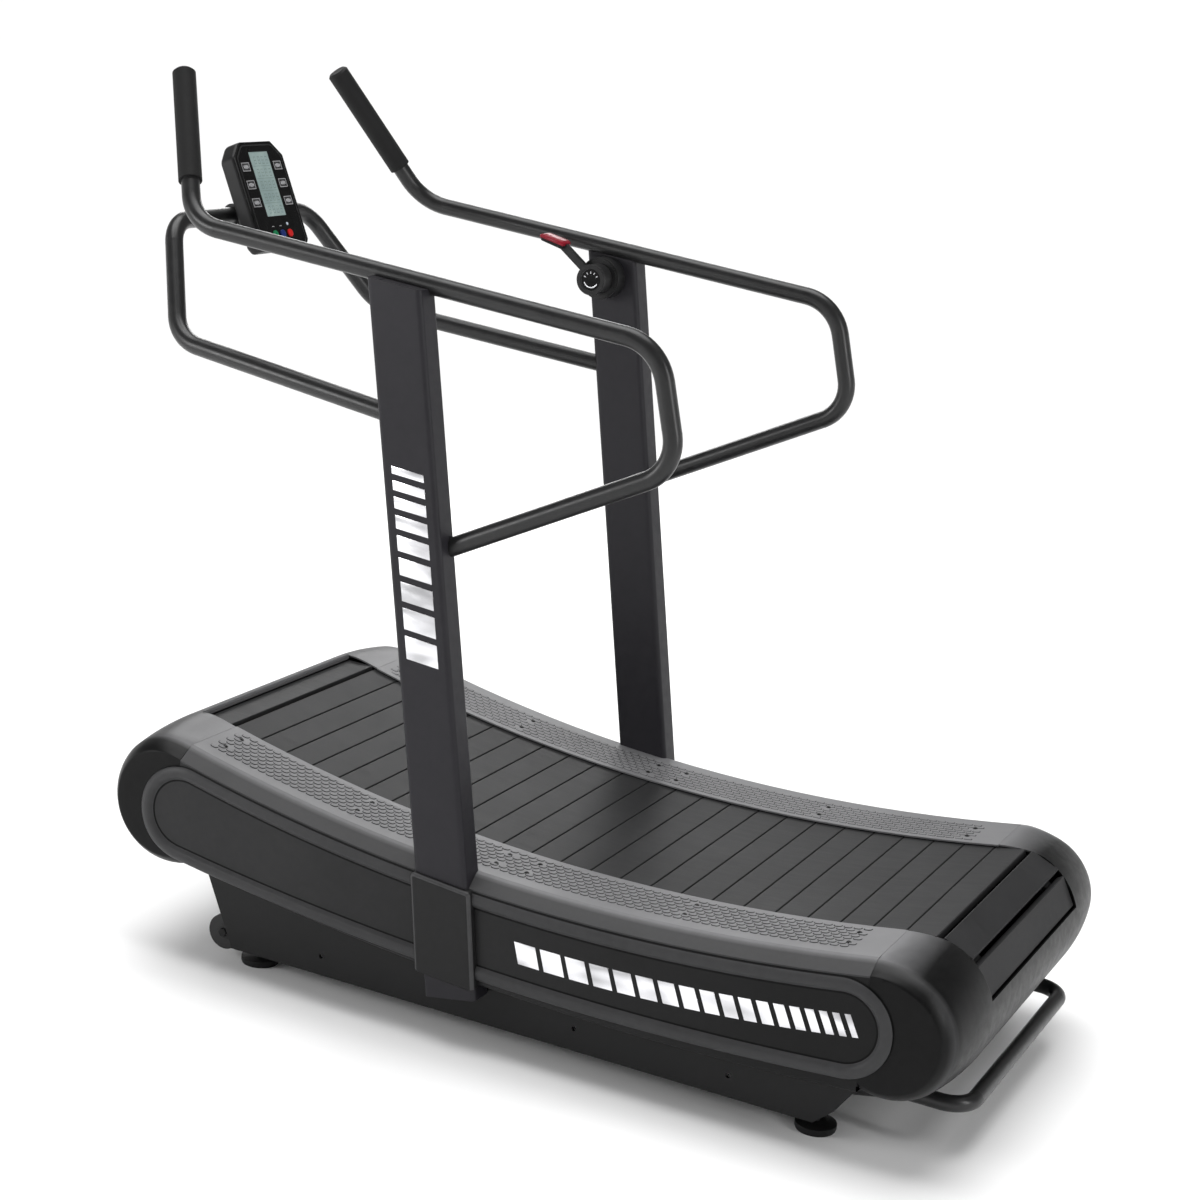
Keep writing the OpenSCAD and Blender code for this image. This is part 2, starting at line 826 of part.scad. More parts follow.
handle_pts = [[-560, 285, 68], [-680, 285, 92], [-787, 285, 92]];
module lift_handle()
  color([0.10, 0.10, 0.105]) translate(to_origin)
    difference() {
      bent_tube(concat(handle_pts, [for (i = [2, 1, 0]) other_side(handle_pts[i])]),
        [0, 120, 45, 45, 120, 0], 28, 2);
      translate([-566, -400, 0])
        cube([40, 800, 200]);
    }

// ---------- axles and brake ----------

module axle_bearings()
  color([0.60, 0.61, 0.63]) translate(to_origin)
    for (s = [-1, 1], q = [[front_axle_x, front_z], [rear_axle_x, rear_z]])
      difference() {
        union() {
          cross_rod(q[0], q[1], s > 0 ? 228 : -240, s > 0 ? 240 : -228, 51.9);
          cross_rod(q[0], q[1], s > 0 ? 240 : -246, s > 0 ? 246 : -240, 78);
        }
        cross_rod(q[0], q[1], s > 0 ? 227 : -247, s > 0 ? 247 : -227, 25.1);
      }

module front_axle()
  color([0.70, 0.71, 0.73]) translate(to_origin)
    cross_rod(front_axle_x, front_z, -345, 256, 25);

module rear_axle()
  color([0.70, 0.71, 0.73]) translate(to_origin)
    cross_rod(rear_axle_x, rear_z, -256, 256, 25);

module pulley_pair(x, z)
  color([0.22, 0.22, 0.23]) translate(to_origin)
    for (s = [-1, 1])
      difference() {
        union() {
          cross_rod(x, z, s * 205 - 16, s * 205 + 16, 2 * (wrap_r - belt_under) - 0.6, 96);
          cross_rod(x, z, s > 0 ? 182 : -189, s > 0 ? 189 : -182, 60);
        }
        cross_rod(x, z, s * 205 - 40, s * 205 + 40, 25);
        for (k = [0 : 5])
          cross_rod(x + 52 * cos(60 * k), z + 52 * sin(60 * k), s * 205 - 40, s * 205 + 40, 26, 32);
      }

brake_x = 548;
brake_z = 236;
drive_y = -330;
module brake_pulley()
  color([0.30, 0.30, 0.31]) translate(to_origin)
    difference() {
      union() {
        cross_rod(front_axle_x, front_z, drive_y - 9, drive_y + 9, 110, 96);
        cross_rod(front_axle_x, front_z, drive_y - 12, drive_y - 9, 116, 96);
        cross_rod(front_axle_x, front_z, drive_y + 9, drive_y + 12, 116, 96);
        cross_rod(front_axle_x, front_z, drive_y - 9, drive_y + 40, 44);
      }
      cross_rod(front_axle_x, front_z, -360, -260, 25);
    }

module brake_loop_2d(grow) {
  v = [front_axle_x - brake_x, front_z - brake_z];
  l = sqrt(v * v);
  a = atan2(v[1], v[0]);
  b = acos((55 - 24) / l);
  ra = 55.3 + grow;
  rb = 24.3 + grow;
  pa = [front_axle_x, front_z];
  pb = [brake_x, brake_z];
  translate(pa)
    circle(r = ra, $fn = 96);
  translate(pb)
    circle(r = rb, $fn = 96);
  polygon([pa, pa + ra * [cos(a + 180 - b), sin(a + 180 - b)],
    pb + rb * [cos(a + 180 - b), sin(a + 180 - b)], pb,
    pb + rb * [cos(a + 180 + b), sin(a + 180 + b)],
    pa + ra * [cos(a + 180 + b), sin(a + 180 + b)]]);
}

module brake_belt()
  color([0.06, 0.06, 0.06]) translate(to_origin)
    along_y(drive_y - 7, drive_y + 7)
      difference() {
        brake_loop_2d(2.4);
        brake_loop_2d(0);
      }

module flywheel()
  color([0.45, 0.46, 0.48]) translate(to_origin)
    difference() {
      union() {
        cross_rod(brake_x, brake_z, -302, -280, 150, 96);
        cross_rod(brake_x, brake_z, -308, -274, 40);
      }
      cross_rod(brake_x, brake_z, -309, -273, 17);
      for (k = [0 : 4])
        cross_rod(brake_x + 44 * cos(72 * k), brake_z + 44 * sin(72 * k), -310, -270, 30, 32);
    }

module flywheel_shaft()
  color([0.70, 0.71, 0.73]) translate(to_origin)
    cross_rod(brake_x, brake_z, -366, -262, 17);

module flywheel_pulley()
  color([0.30, 0.30, 0.31]) translate(to_origin)
    difference() {
      union() {
        cross_rod(brake_x, brake_z, drive_y - 9, drive_y + 9, 48, 64);
        cross_rod(brake_x, brake_z, drive_y + 9, drive_y + 11, 54, 64);
        cross_rod(brake_x, brake_z, drive_y - 11, drive_y - 9, 54, 64);
      }
      cross_rod(brake_x, brake_z, -345, -315, 17);
    }

magnet_x = 452;
magnet_z = 236;
module brake_mount()
  color([0.16, 0.16, 0.17]) translate(to_origin)
    difference() {
      union() {
        along_y(-366, -358)
          polygon([[425, 195], [585, 195], [585, 275], [500, 275], [425, 262]]);
        along_y(-270, -264)
          polygon([[425, 195], [585, 195], [585, 275], [500, 275], [425, 262]]);
        along_y(-358, -270)
          translate([425, 195])
            square([150, 6]);
        for (x = [440, 470, 570])
          cross_rod(x, 205, -370, -366, 14, 24);
      }
      cross_rod(brake_x, brake_z, -371, -260, 17.1);
      cross_rod(magnet_x, magnet_z, -371, -260, 8.04);
      translate([465, -310, 190])
        cube([160, 38, 15]);
    }

// magnets on a yoke that swings over the flywheel rim
module brake_magnet()
  color([0.32, 0.30, 0.30]) translate(to_origin) {
    cross_rod(magnet_x, magnet_z, -366, -264, 8);
    difference() {
      along_y(-316, -273)
        polygon([[magnet_x - 8, magnet_z - 8], [magnet_x + 8, magnet_z - 8],
          [magnet_x + 52, magnet_z + 34], [magnet_x + 40, magnet_z + 50], [magnet_x - 8, magnet_z + 10]]);
      cross_rod(brake_x, brake_z, -305.5, -276.5, 158, 96);
    }
  }

// ---------- lever ----------

lever_x = 305;
lever_z = 1240;
module lever_housing()
  color([0.09, 0.09, 0.095]) translate(to_origin)
    difference() {
      union() {
        cross_rod(lever_x, lever_z, -377, -346, 80, 96);
        cross_rod(lever_x, lever_z, -346, -343, 74, 96);
      }
      cross_rod(lever_x, lever_z, -378, -342, 16.1);
    }

lever_up = 37;
module lever()
  color([0.12, 0.12, 0.125]) translate(to_origin) {
    cross_rod(lever_x, lever_z, -370, -318, 16);
    difference() {
      cross_rod(lever_x, lever_z, -342.7, -308, 58, 96);
      cross_rod(lever_x, lever_z, -311, -307, 42, 96);
    }
    difference() {
      translate([lever_x, -334, lever_z])
        rotate([0, -lever_up, 0])
          translate([20, 0, -7])
            cube([73, 12, 14]);
      cross_rod(lever_x, lever_z, -342.7, -308, 57, 96);
    }
  }

paddle_len = 54;
module lever_paddle()
  color([0.62, 0.07, 0.07]) translate(to_origin)
    translate([lever_x, -328, lever_z])
      rotate([0, -lever_up, 0])
        translate([93, 0, 0])
          rotate([0, lever_up - 12, 0])
            difference() {
              translate([-9, 0, -7])
                rotate([90, 0, 0])
                  translate([0, 0, -17])
                    linear_extrude(34)
                      polygon([[0, 0], [paddle_len, 2], [paddle_len, 12], [paddle_len - 4, 16],
                        [4, 16], [0, 12]]);
              translate([-30, -6.1, -9])
                cube([34, 12.2, 18]);
            }

// cable from the lever down inside the right upright to the magnet yoke
module brake_cable()
  color([0.05, 0.05, 0.05]) translate(to_origin)
    rod([138, -403, 180], [301, -403, 1128], 5, 12);

// ---------- wheels and feet ----------

wheel_c = [612, 50];
module transport_wheel(s)
  color([0.06, 0.06, 0.06]) translate(to_origin)
    difference() {
      union() {
        cross_rod(wheel_c[0], wheel_c[1], s * 336 - 12, s * 336 + 12, wheel_d, 96);
        cross_rod(wheel_c[0], wheel_c[1], s * 336 - 14, s * 336 + 14, 26);
      }
      cross_rod(wheel_c[0], wheel_c[1], s * 336 - 15, s * 336 + 15, 10.1);
    }

module wheel_brackets()
  color([0.14, 0.14, 0.145]) translate(to_origin)
    for (s = [-1, 1])
      difference() {
        along_y(s > 0 ? 315.5 : -321.5, s > 0 ? 321.5 : -315.5)
          polygon([[575, 44], [575, 80], [600, 80], [626, 62], [626, 38], [604, 38]]);
        cross_rod(wheel_c[0], wheel_c[1], s * 318.5 - 4, s * 318.5 + 4, 10);
      }

module wheel_bolts()
  color([0.55, 0.55, 0.57]) translate(to_origin)
    for (s = [-1, 1]) {
      cross_rod(wheel_c[0], wheel_c[1], s > 0 ? 306 : -352, s > 0 ? 352 : -306, 10, 32);
      cross_rod(wheel_c[0], wheel_c[1], s > 0 ? 350.5 : -355, s > 0 ? 355 : -350.5, 17, 6);
      cross_rod(wheel_c[0], wheel_c[1], s > 0 ? 307.5 : -315.5, s > 0 ? 315.5 : -307.5, 17, 6);
    }

foot_xy = [[548, 321], [548, -321], [-548, 321], [-548, -321]];
module foot(k)
  color([0.07, 0.07, 0.07]) translate(to_origin)
    translate([foot_xy[k][0], foot_xy[k][1], 0]) {
      cylinder(h = 4, d1 = foot_d - 3, d2 = foot_d, $fn = 64);
      translate([0, 0, 4])
        cylinder(h = 8, d = foot_d, $fn = 64);
      translate([0, 0, 12])
        cylinder(h = 3, d1 = foot_d, d2 = 34, $fn = 64);
      cylinder(h = 62, d = 11.9, $fn = 32);
    }

// welded under the base tubes, the feet screw through them
module foot_nuts()
  color([0.55, 0.55, 0.57]) translate(to_origin)
    for (q = foot_xy)
      translate([q[0], q[1], 31])
        difference() {
          cylinder(h = 11, d = 22, $fn = 6);
          translate([0, 0, -1])
            cylinder(h = 13, d = 12, $fn = 32);
        }

side_plate(false);  // side_plate_left
side_plate(true);  // side_plate_right
inner_plates();
base_tubes();
upper_cross_tubes();
upright(false);  // upright_left
upright(true);  // upright_right
upright_bolts();
handrail(false);  // handrail_left
handrail(true);  // handrail_right
grips();
front_bar();
console_clamp();
console_housing();
console_back();
console_face();
console_display();
console_legends();
button(0, [0.05, 0.45, 0.25]);  // button_green
button(1, [0.10, 0.20, 0.60]);  // button_blue
button(2, [0.65, 0.06, 0.06]);  // button_red
front_cap();
rear_cap();
foot_rail(false);  // foot_rail_left
foot_rail(true);  // foot_rail_right
tread_strips();
tread_screws();
side_cover(false);  // side_cover_left
side_cover(true);  // side_cover_right
sleeves();
lift_handle();
belt_slats();
belt_loops();
support_bearings();
bearing_bolts();
axle_bearings();
front_axle();
pulley_pair(front_axle_x, front_z);  // front_pulleys
brake_pulley();
rear_axle();
pulley_pair(rear_axle_x, rear_z);  // rear_pulleys
brake_belt();
flywheel();
flywheel_shaft();
flywheel_pulley();
brake_mount();
brake_magnet();
lever_housing();
brake_cable();
lever();
lever_paddle();
transport_wheel(1);  // transport_wheel_left
transport_wheel(-1);  // transport_wheel_right
wheel_brackets();
wheel_bolts();
foot(0);  // foot_front_left
foot(1);  // foot_front_right
foot(2);  // foot_rear_left
foot(3);  // foot_rear_right
foot_nuts();
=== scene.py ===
import json
import math

import bpy
import bmesh
from mathutils import Matrix, Vector


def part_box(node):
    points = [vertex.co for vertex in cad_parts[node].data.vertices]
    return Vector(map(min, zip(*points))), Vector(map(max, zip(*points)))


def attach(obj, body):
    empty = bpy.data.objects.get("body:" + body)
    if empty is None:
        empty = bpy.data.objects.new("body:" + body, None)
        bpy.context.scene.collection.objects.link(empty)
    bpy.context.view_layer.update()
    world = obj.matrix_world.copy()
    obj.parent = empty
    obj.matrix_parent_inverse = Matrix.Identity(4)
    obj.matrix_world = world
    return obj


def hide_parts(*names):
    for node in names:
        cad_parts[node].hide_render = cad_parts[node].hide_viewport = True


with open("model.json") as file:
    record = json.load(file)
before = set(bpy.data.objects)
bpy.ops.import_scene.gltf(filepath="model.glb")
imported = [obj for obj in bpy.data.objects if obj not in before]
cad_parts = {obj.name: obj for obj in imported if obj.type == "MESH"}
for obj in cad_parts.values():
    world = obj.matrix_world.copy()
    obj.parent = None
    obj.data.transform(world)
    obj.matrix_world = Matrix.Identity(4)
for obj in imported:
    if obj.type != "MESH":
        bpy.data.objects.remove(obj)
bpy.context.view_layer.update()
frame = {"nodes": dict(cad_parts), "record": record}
nodes = frame["nodes"]
SLOT_OF = {s["node"]: s["material_slot"] for s in frame["record"]["subparts"]}

# The CAD's own numbers run from the mid axle line; the front axle tells how far they were moved.
axle_lo, axle_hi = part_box("front_axle")
SHIFT = (axle_lo.x + axle_hi.x) / 2 - 0.718
BODY = "machine"
# in metres: reach of the foot rail's grey, fading out as painted light, into each end cap, and the
# rail's crease from the middle
CAP_FADE_FRONT, CAP_FADE_REAR = 0.108, 0.078
CREASE_IN, CREASE_OUT = 0.388, 0.399
# light strengths, and the sun's spread and tilt in degrees
WORLD_LIGHT, SUN_LIGHT = 0.18, 2.85
SUN_SPREAD, SUN_TILT = 50, 8
# distance and height, in metres, of the floor's rings: flat, then far off a slow curve upward
FLOOR_RINGS = ((16, 0), (70, 1.1), (78, 1.8), (85, 3.2), (91, 5.6), (96, 9.2), (100, 14), (103, 20),
               (105, 28))
FLOOR_SIDES = 96
CAMERA_AT = (-1694.13, 3813.87, 1825.95)
CAMERA_LENS, SENSOR_WIDTH = 72.593, 36


def pt(x, y, z):
    """A point in metres from millimetres along the machine's own axes."""
    return Vector((x / 1000 + SHIFT, y / 1000, z / 1000))


# ---------------------------------------------------------------- camera, light and floor

def make_camera():
    data = bpy.data.cameras.new("camera")
    cam = bpy.data.objects.new("camera", data)
    bpy.context.scene.collection.objects.link(cam)
    data.lens = CAMERA_LENS
    data.sensor_width = SENSOR_WIDTH
    data.clip_end = 3 * FLOOR_RINGS[-1][0]
    turn = Matrix(((-0.892945, 0.190603, -0.407824),
                   (-0.441264, -0.191330, 0.876743),
                   (0.089081, 0.962841, 0.254954)))
    cam.matrix_world = Matrix.Translation(pt(*CAMERA_AT)) @ turn.to_4x4()
    bpy.context.scene.camera = cam


def area_light(name, place, aim, size, power):
    data = bpy.data.lights.new(name, "AREA")
    data.shape = "RECTANGLE"
    data.size, data.size_y = size
    data.energy = power
    lamp = bpy.data.objects.new(name, data)
    bpy.context.scene.collection.objects.link(lamp)
    lamp.location = place
    lamp.rotation_euler = (Vector(aim) - Vector(place)).to_track_quat("-Z", "Y").to_euler()


def make_floor():
    """Plain pale floor that runs far out and curves up into a backdrop."""
    bm = bmesh.new()
    rows = []
    for reach, z in FLOOR_RINGS:
        turns = [2 * math.pi * i / FLOOR_SIDES for i in range(FLOOR_SIDES)]
        rows.append([bm.verts.new((reach * math.cos(a), reach * math.sin(a), z)) for a in turns])
    bm.faces.new(rows[0])
    ring_faces(bm, rows)
    bmesh.ops.recalc_face_normals(bm, faces=bm.faces)
    mesh = bpy.data.meshes.new("floor")
    bm.to_mesh(mesh)
    bm.free()
    mesh.shade_smooth()
    floor = bpy.data.objects.new("floor", mesh)
    bpy.context.scene.collection.objects.link(floor)
    mat, tree, bsdf = new_material("floor", 0.9, 0.0, 0.05)
    tone = remap(tree, noise(tree, coords(tree), 3.0), 0.3, 0.7, 0.0, 1.0)
    link(tree, mix_colour(tree, tone, grey(0.925, 1.0), grey(0.935, 1.0)), bsdf.inputs["Base Color"])
    mesh.materials.append(mat)


def make_light():
    world = bpy.data.worlds.new("studio")
    bpy.context.scene.world = world
    world.use_nodes = True
    world.node_tree.nodes["Background"].inputs[0].default_value = (1, 1, 1, 1)
    world.node_tree.nodes["Background"].inputs[1].default_value = WORLD_LIGHT
    sun = bpy.data.lights.new("overhead", "SUN")
    sun.energy = SUN_LIGHT
    sun.angle = math.radians(SUN_SPREAD)
    lamp = bpy.data.objects.new("overhead", sun)
    bpy.context.scene.collection.objects.link(lamp)
    lamp.rotation_euler = (math.radians(SUN_TILT), math.radians(SUN_TILT), 0)
    area_light("edge_strip", (-4.0, 0.95, 2.1), (-0.7, 0.4, 0.25), (0.35, 2.6), 60)
    area_light("back_strip", (2.4, -3.6, 2.4), (0.0, 0.0, 0.6), (2.6, 1.2), 60)
    area_light("front_box", (3.0, 2.9, 1.7), (0.6, 0.42, 0.3), (1.6, 1.2), 60)
    bpy.context.scene.view_settings.view_transform = "Standard"


# ---------------------------------------------------------------- materials

def link(tree, a, b):
    tree.links.new(a, b)


def new_material(name, rough=0.5, metal=0.0, spec=0.5):
    mat = bpy.data.materials.new(name)
    mat.use_nodes = True
    bsdf = mat.node_tree.nodes["Principled BSDF"]
    bsdf.inputs["Roughness"].default_value = rough
    bsdf.inputs["Metallic"].default_value = metal
    bsdf.inputs["Specular IOR Level"].default_value = spec
    return mat, mat.node_tree, bsdf


def coords(tree, scale=(1, 1, 1)):
    tex = tree.nodes.new("ShaderNodeTexCoord")
    mapping = tree.nodes.new("ShaderNodeMapping")
    mapping.inputs["Scale"].default_value = scale
    link(tree, tex.outputs["Object"], mapping.inputs["Vector"])
    return mapping.outputs["Vector"]


def noise(tree, vector, scale, detail=4.0, rough=0.55):
    n = tree.nodes.new("ShaderNodeTexNoise")
    n.inputs["Scale"].default_value = scale
    n.inputs["Detail"].default_value = detail
    n.inputs["Roughness"].default_value = rough
    link(tree, vector, n.inputs["Vector"])
    return n.outputs["Fac"]


def remap(tree, value, lo, hi, to_lo, to_hi):
    r = tree.nodes.new("ShaderNodeMapRange")
    r.inputs["From Min"].default_value = lo
    r.inputs["From Max"].default_value = hi
    r.inputs["To Min"].default_value = to_lo
    r.inputs["To Max"].default_value = to_hi
    link(tree, value, r.inputs["Value"])
    return r.outputs["Result"]


def maths(tree, op, a, b):
    m = tree.nodes.new("ShaderNodeMath")
    m.operation = op
    for i, v in enumerate((a, b)):
        if isinstance(v, (int, float)):
            m.inputs[i].default_value = v
        else:
            link(tree, v, m.inputs[i])
    return m.outputs[0]


def mix_colour(tree, fac, a, b):
    m = tree.nodes.new("ShaderNodeMix")
    m.data_type = "RGBA"
    for key, v in (("Factor", fac), ("A", a), ("B", b)):
        sock = [s for s in m.inputs if s.name == key and (s.type == "RGBA" or key == "Factor")][0]
        if isinstance(v, (tuple, float, int)):
            sock.default_value = (*v, 1) if isinstance(v, tuple) else v
        else:
            link(tree, v, sock)
    return [s for s in m.outputs if s.type == "RGBA"][0]


def bump(tree, bsdf, height, depth, edge=0.0):
    """Bump of the given depth in metres, over edges softened to the given radius."""
    b = tree.nodes.new("ShaderNodeBump")
    b.inputs["Distance"].default_value = depth
    link(tree, height, b.inputs["Height"])
    if edge:
        soft = tree.nodes.new("ShaderNodeBevel")
        soft.samples = 6
        soft.inputs["Radius"].default_value = edge
        link(tree, soft.outputs["Normal"], b.inputs["Normal"])
    link(tree, b.outputs["Normal"], bsdf.inputs["Normal"])


def mottle(tree, at, grain):
    """Cloudy tone, medium noise and fine grain that the painted and moulded surfaces share."""
    cloud = noise(tree, at, 5.0, 5.0, 0.6)
    fine = noise(tree, at, grain, 2.0, 0.5)
    mid = noise(tree, at, 60.0, 4.0, 0.6)
    tone = remap(tree, maths(tree, "ADD", cloud, mid), 0.7, 1.3, 0.0, 1.0)
    return tone, mid, fine


def axis_values(tree, at):
    """The point's X, and its distance from the machine's middle plane."""
    split = tree.nodes.new("ShaderNodeSeparateXYZ")
    link(tree, at, split.inputs[0])
    aside = maths(tree, "ABSOLUTE", split.outputs["Y"], 0.0)
    return split.outputs["X"], aside


def coated(name, dark, light, rough, grain=900.0, depth=0.00005, spec=0.2, edge=0.001):
    """Painted, moulded or rubber surface: cloudy colour, uneven gloss and a fine grain."""
    mat, tree, bsdf = new_material(name, rough, 0.0, spec)
    tone, mid, fine = mottle(tree, coords(tree), grain)
    link(tree, mix_colour(tree, tone, dark, light), bsdf.inputs["Base Color"])
    link(tree, remap(tree, mid, 0.3, 0.7, rough - 0.06, rough + 0.06), bsdf.inputs["Roughness"])
    bump(tree, bsdf, fine, depth, edge)
    return mat


def grey(v, tint=1.03):
    return (v, v, v * tint)


def cover_material(name, dark_rear, light_rear, dark_front, light_front):
    """Cover plastic whose colour runs from a rear pair to a front pair along the machine; on the panel
    the deeper rear is painted shade.
    """
    mat, tree, bsdf = new_material(name, 0.42, 0.0, 0.16)
    at = coords(tree)
    x, _ = axis_values(tree, at)
    # painted shade: this blend along X darkens the cover panel toward the rear, where less light falls
    along = remap(tree, x, SHIFT - 0.55, SHIFT + 0.45, 0.0, 1.0)
    tone, mid, fine = mottle(tree, at, 1100.0)
    rear = mix_colour(tree, tone, dark_rear, light_rear)
    front = mix_colour(tree, tone, dark_front, light_front)
    link(tree, mix_colour(tree, along, rear, front), bsdf.inputs["Base Color"])
    link(tree, remap(tree, mid, 0.3, 0.7, 0.37, 0.48), bsdf.inputs["Roughness"])
    bump(tree, bsdf, fine, 0.00005, 0.001)
    return mat


def cap_material(name, seam, way, reach, crease_highlight):
    """Cap plastic that takes up the foot rail's grey near their seam and fades it out over its top as
    painted light; a painted highlight lightens the crease of its shoulder.
    """
    mat, tree, bsdf = new_material(name, 0.38, 0.0, 0.12)
    at = coords(tree)
    x, aside = axis_values(tree, at)
    past = maths(tree, "MULTIPLY", x, way)
    # painted light: near the seam and above the crease the rail's grey fades into the cap's dark, as the
    # lit top falls off into shade
    near = remap(tree, past, seam * way + 0.1 * reach, seam * way + reach, 1.0, 0.0)
    high = remap(tree, aside, CREASE_IN, CREASE_OUT, 1.0, 0.0)
    fade = maths(tree, "MULTIPLY", near, high)
    tone, mid, fine = mottle(tree, at, 1100.0)
    dark = mix_colour(tree, tone, grey(0.0030), grey(0.0055))
    # painted highlight: the lighter grey that the crease band lays along the shoulder
    crease_highlight_grey = mix_colour(tree, tone, grey(0.028), grey(0.036))
    light = mix_colour(tree, tone, grey(0.135), grey(0.165))
    band = maths(tree, "MULTIPLY", remap(tree, aside, CREASE_IN, CREASE_OUT, 0.0, 1.0),
                 remap(tree, aside, CREASE_OUT, CREASE_OUT + 0.013, crease_highlight, 0.0))
    body = mix_colour(tree, band, dark, crease_highlight_grey)
    link(tree, mix_colour(tree, fade, body, light), bsdf.inputs["Base Color"])
    link(tree, remap(tree, mid, 0.3, 0.7, 0.33, 0.43), bsdf.inputs["Roughness"])
    bump(tree, bsdf, fine, 0.00005, 0.001)
    return mat


def rail_material():
    """Foot rail plastic: a scuffed grey top and a rounded shoulder darkened by painted shade."""
    mat, tree, bsdf = new_material("rail_plastic", 0.46, 0.0, 0.2)
    at = coords(tree)
    _, aside = axis_values(tree, at)
    # painted shade: beyond the crease the shoulder turns away from the light, so it gets a darker grey
    low = remap(tree, aside, CREASE_IN, CREASE_OUT, 0.0, 1.0)
    tone, mid, fine = mottle(tree, at, 1200.0)
    top = mix_colour(tree, tone, grey(0.135), grey(0.165))
    side = mix_colour(tree, tone, grey(0.034), grey(0.044))
    link(tree, mix_colour(tree, low, top, side), bsdf.inputs["Base Color"])
    link(tree, remap(tree, mid, 0.3, 0.7, 0.40, 0.52), bsdf.inputs["Roughness"])
    bump(tree, bsdf, fine, 0.00006, 0.001)
    return mat


def slat_material():
    """Slat rubber: a fine pebble grain with scuffs drawn out along the running direction."""
    mat, tree, bsdf = new_material("slat_rubber", 0.5, 0.0, 0.06)
    at = coords(tree)
    long = coords(tree, (0.12, 1.0, 1.0))
    scuff = noise(tree, long, 90.0, 5.0, 0.65)
    cloud = noise(tree, at, 4.0, 4.0, 0.6)
    pebble = noise(tree, at, 1400.0, 2.0, 0.5)
    tone = remap(tree, maths(tree, "ADD", scuff, cloud), 0.75, 1.3, 0.0, 1.0)
    link(tree, mix_colour(tree, tone, grey(0.020), grey(0.029)), bsdf.inputs["Base Color"])
    link(tree, remap(tree, scuff, 0.3, 0.7, 0.42, 0.52), bsdf.inputs["Roughness"])
    bump(tree, bsdf, pebble, 0.00006, 0.0012)
    return mat


def brushed(name, base, rough):
    """Metal with fine brush lines and a cloudy tone."""
    mat, tree, bsdf = new_material(name, rough, 1.0)
    at = coords(tree)
    lines = noise(tree, at, 500.0, 3.0, 0.6)
    cloud = noise(tree, at, 12.0, 4.0, 0.6)
    dark = tuple(c * 0.75 for c in base)
    tone = remap(tree, maths(tree, "ADD", lines, cloud), 0.7, 1.3, 0.0, 1.0)
    link(tree, mix_colour(tree, tone, dark, base), bsdf.inputs["Base Color"])
    link(tree, remap(tree, lines, 0.3, 0.7, rough - 0.08, rough + 0.1), bsdf.inputs["Roughness"])
    bump(tree, bsdf, lines, 0.00003, 0.0006)
    return mat


def silver_material():
    """Bright plated film whose tone drifts in broad soft bands."""
    mat, tree, bsdf = new_material("silver", 0.2, 1.0)
    at = coords(tree, (0.35, 1.0, 1.0))
    band = noise(tree, at, 34.0, 1.0, 0.4)
    fine = noise(tree, at, 900.0, 2.0, 0.5)
    tone = remap(tree, band, 0.36, 0.62, 0.0, 1.0)
    link(tree, mix_colour(tree, tone, grey(0.45), grey(0.90)), bsdf.inputs["Base Color"])
    link(tree, remap(tree, fine, 0.3, 0.7, 0.16, 0.26), bsdf.inputs["Roughness"])
    bump(tree, bsdf, fine, 0.00001, 0.0004)
    return mat


def display_material():
    """Liquid crystal window: faint segment rows under a smooth grey-green film."""
    mat, tree, bsdf = new_material("display", 0.22, 0.0, 0.5)
    at = coords(tree)
    cloud = noise(tree, at, 30.0, 3.0, 0.5)
    fine = noise(tree, at, 2500.0, 1.0, 0.5)
    tone = remap(tree, cloud, 0.35, 0.65, 0.0, 1.0)
    link(tree, mix_colour(tree, tone, (0.24, 0.320, 0.310), (0.31, 0.400, 0.385)),
         bsdf.inputs["Base Color"])
    link(tree, remap(tree, cloud, 0.3, 0.7, 0.18, 0.28), bsdf.inputs["Roughness"])
    bump(tree, bsdf, fine, 0.00001, 0.0003)
    return mat


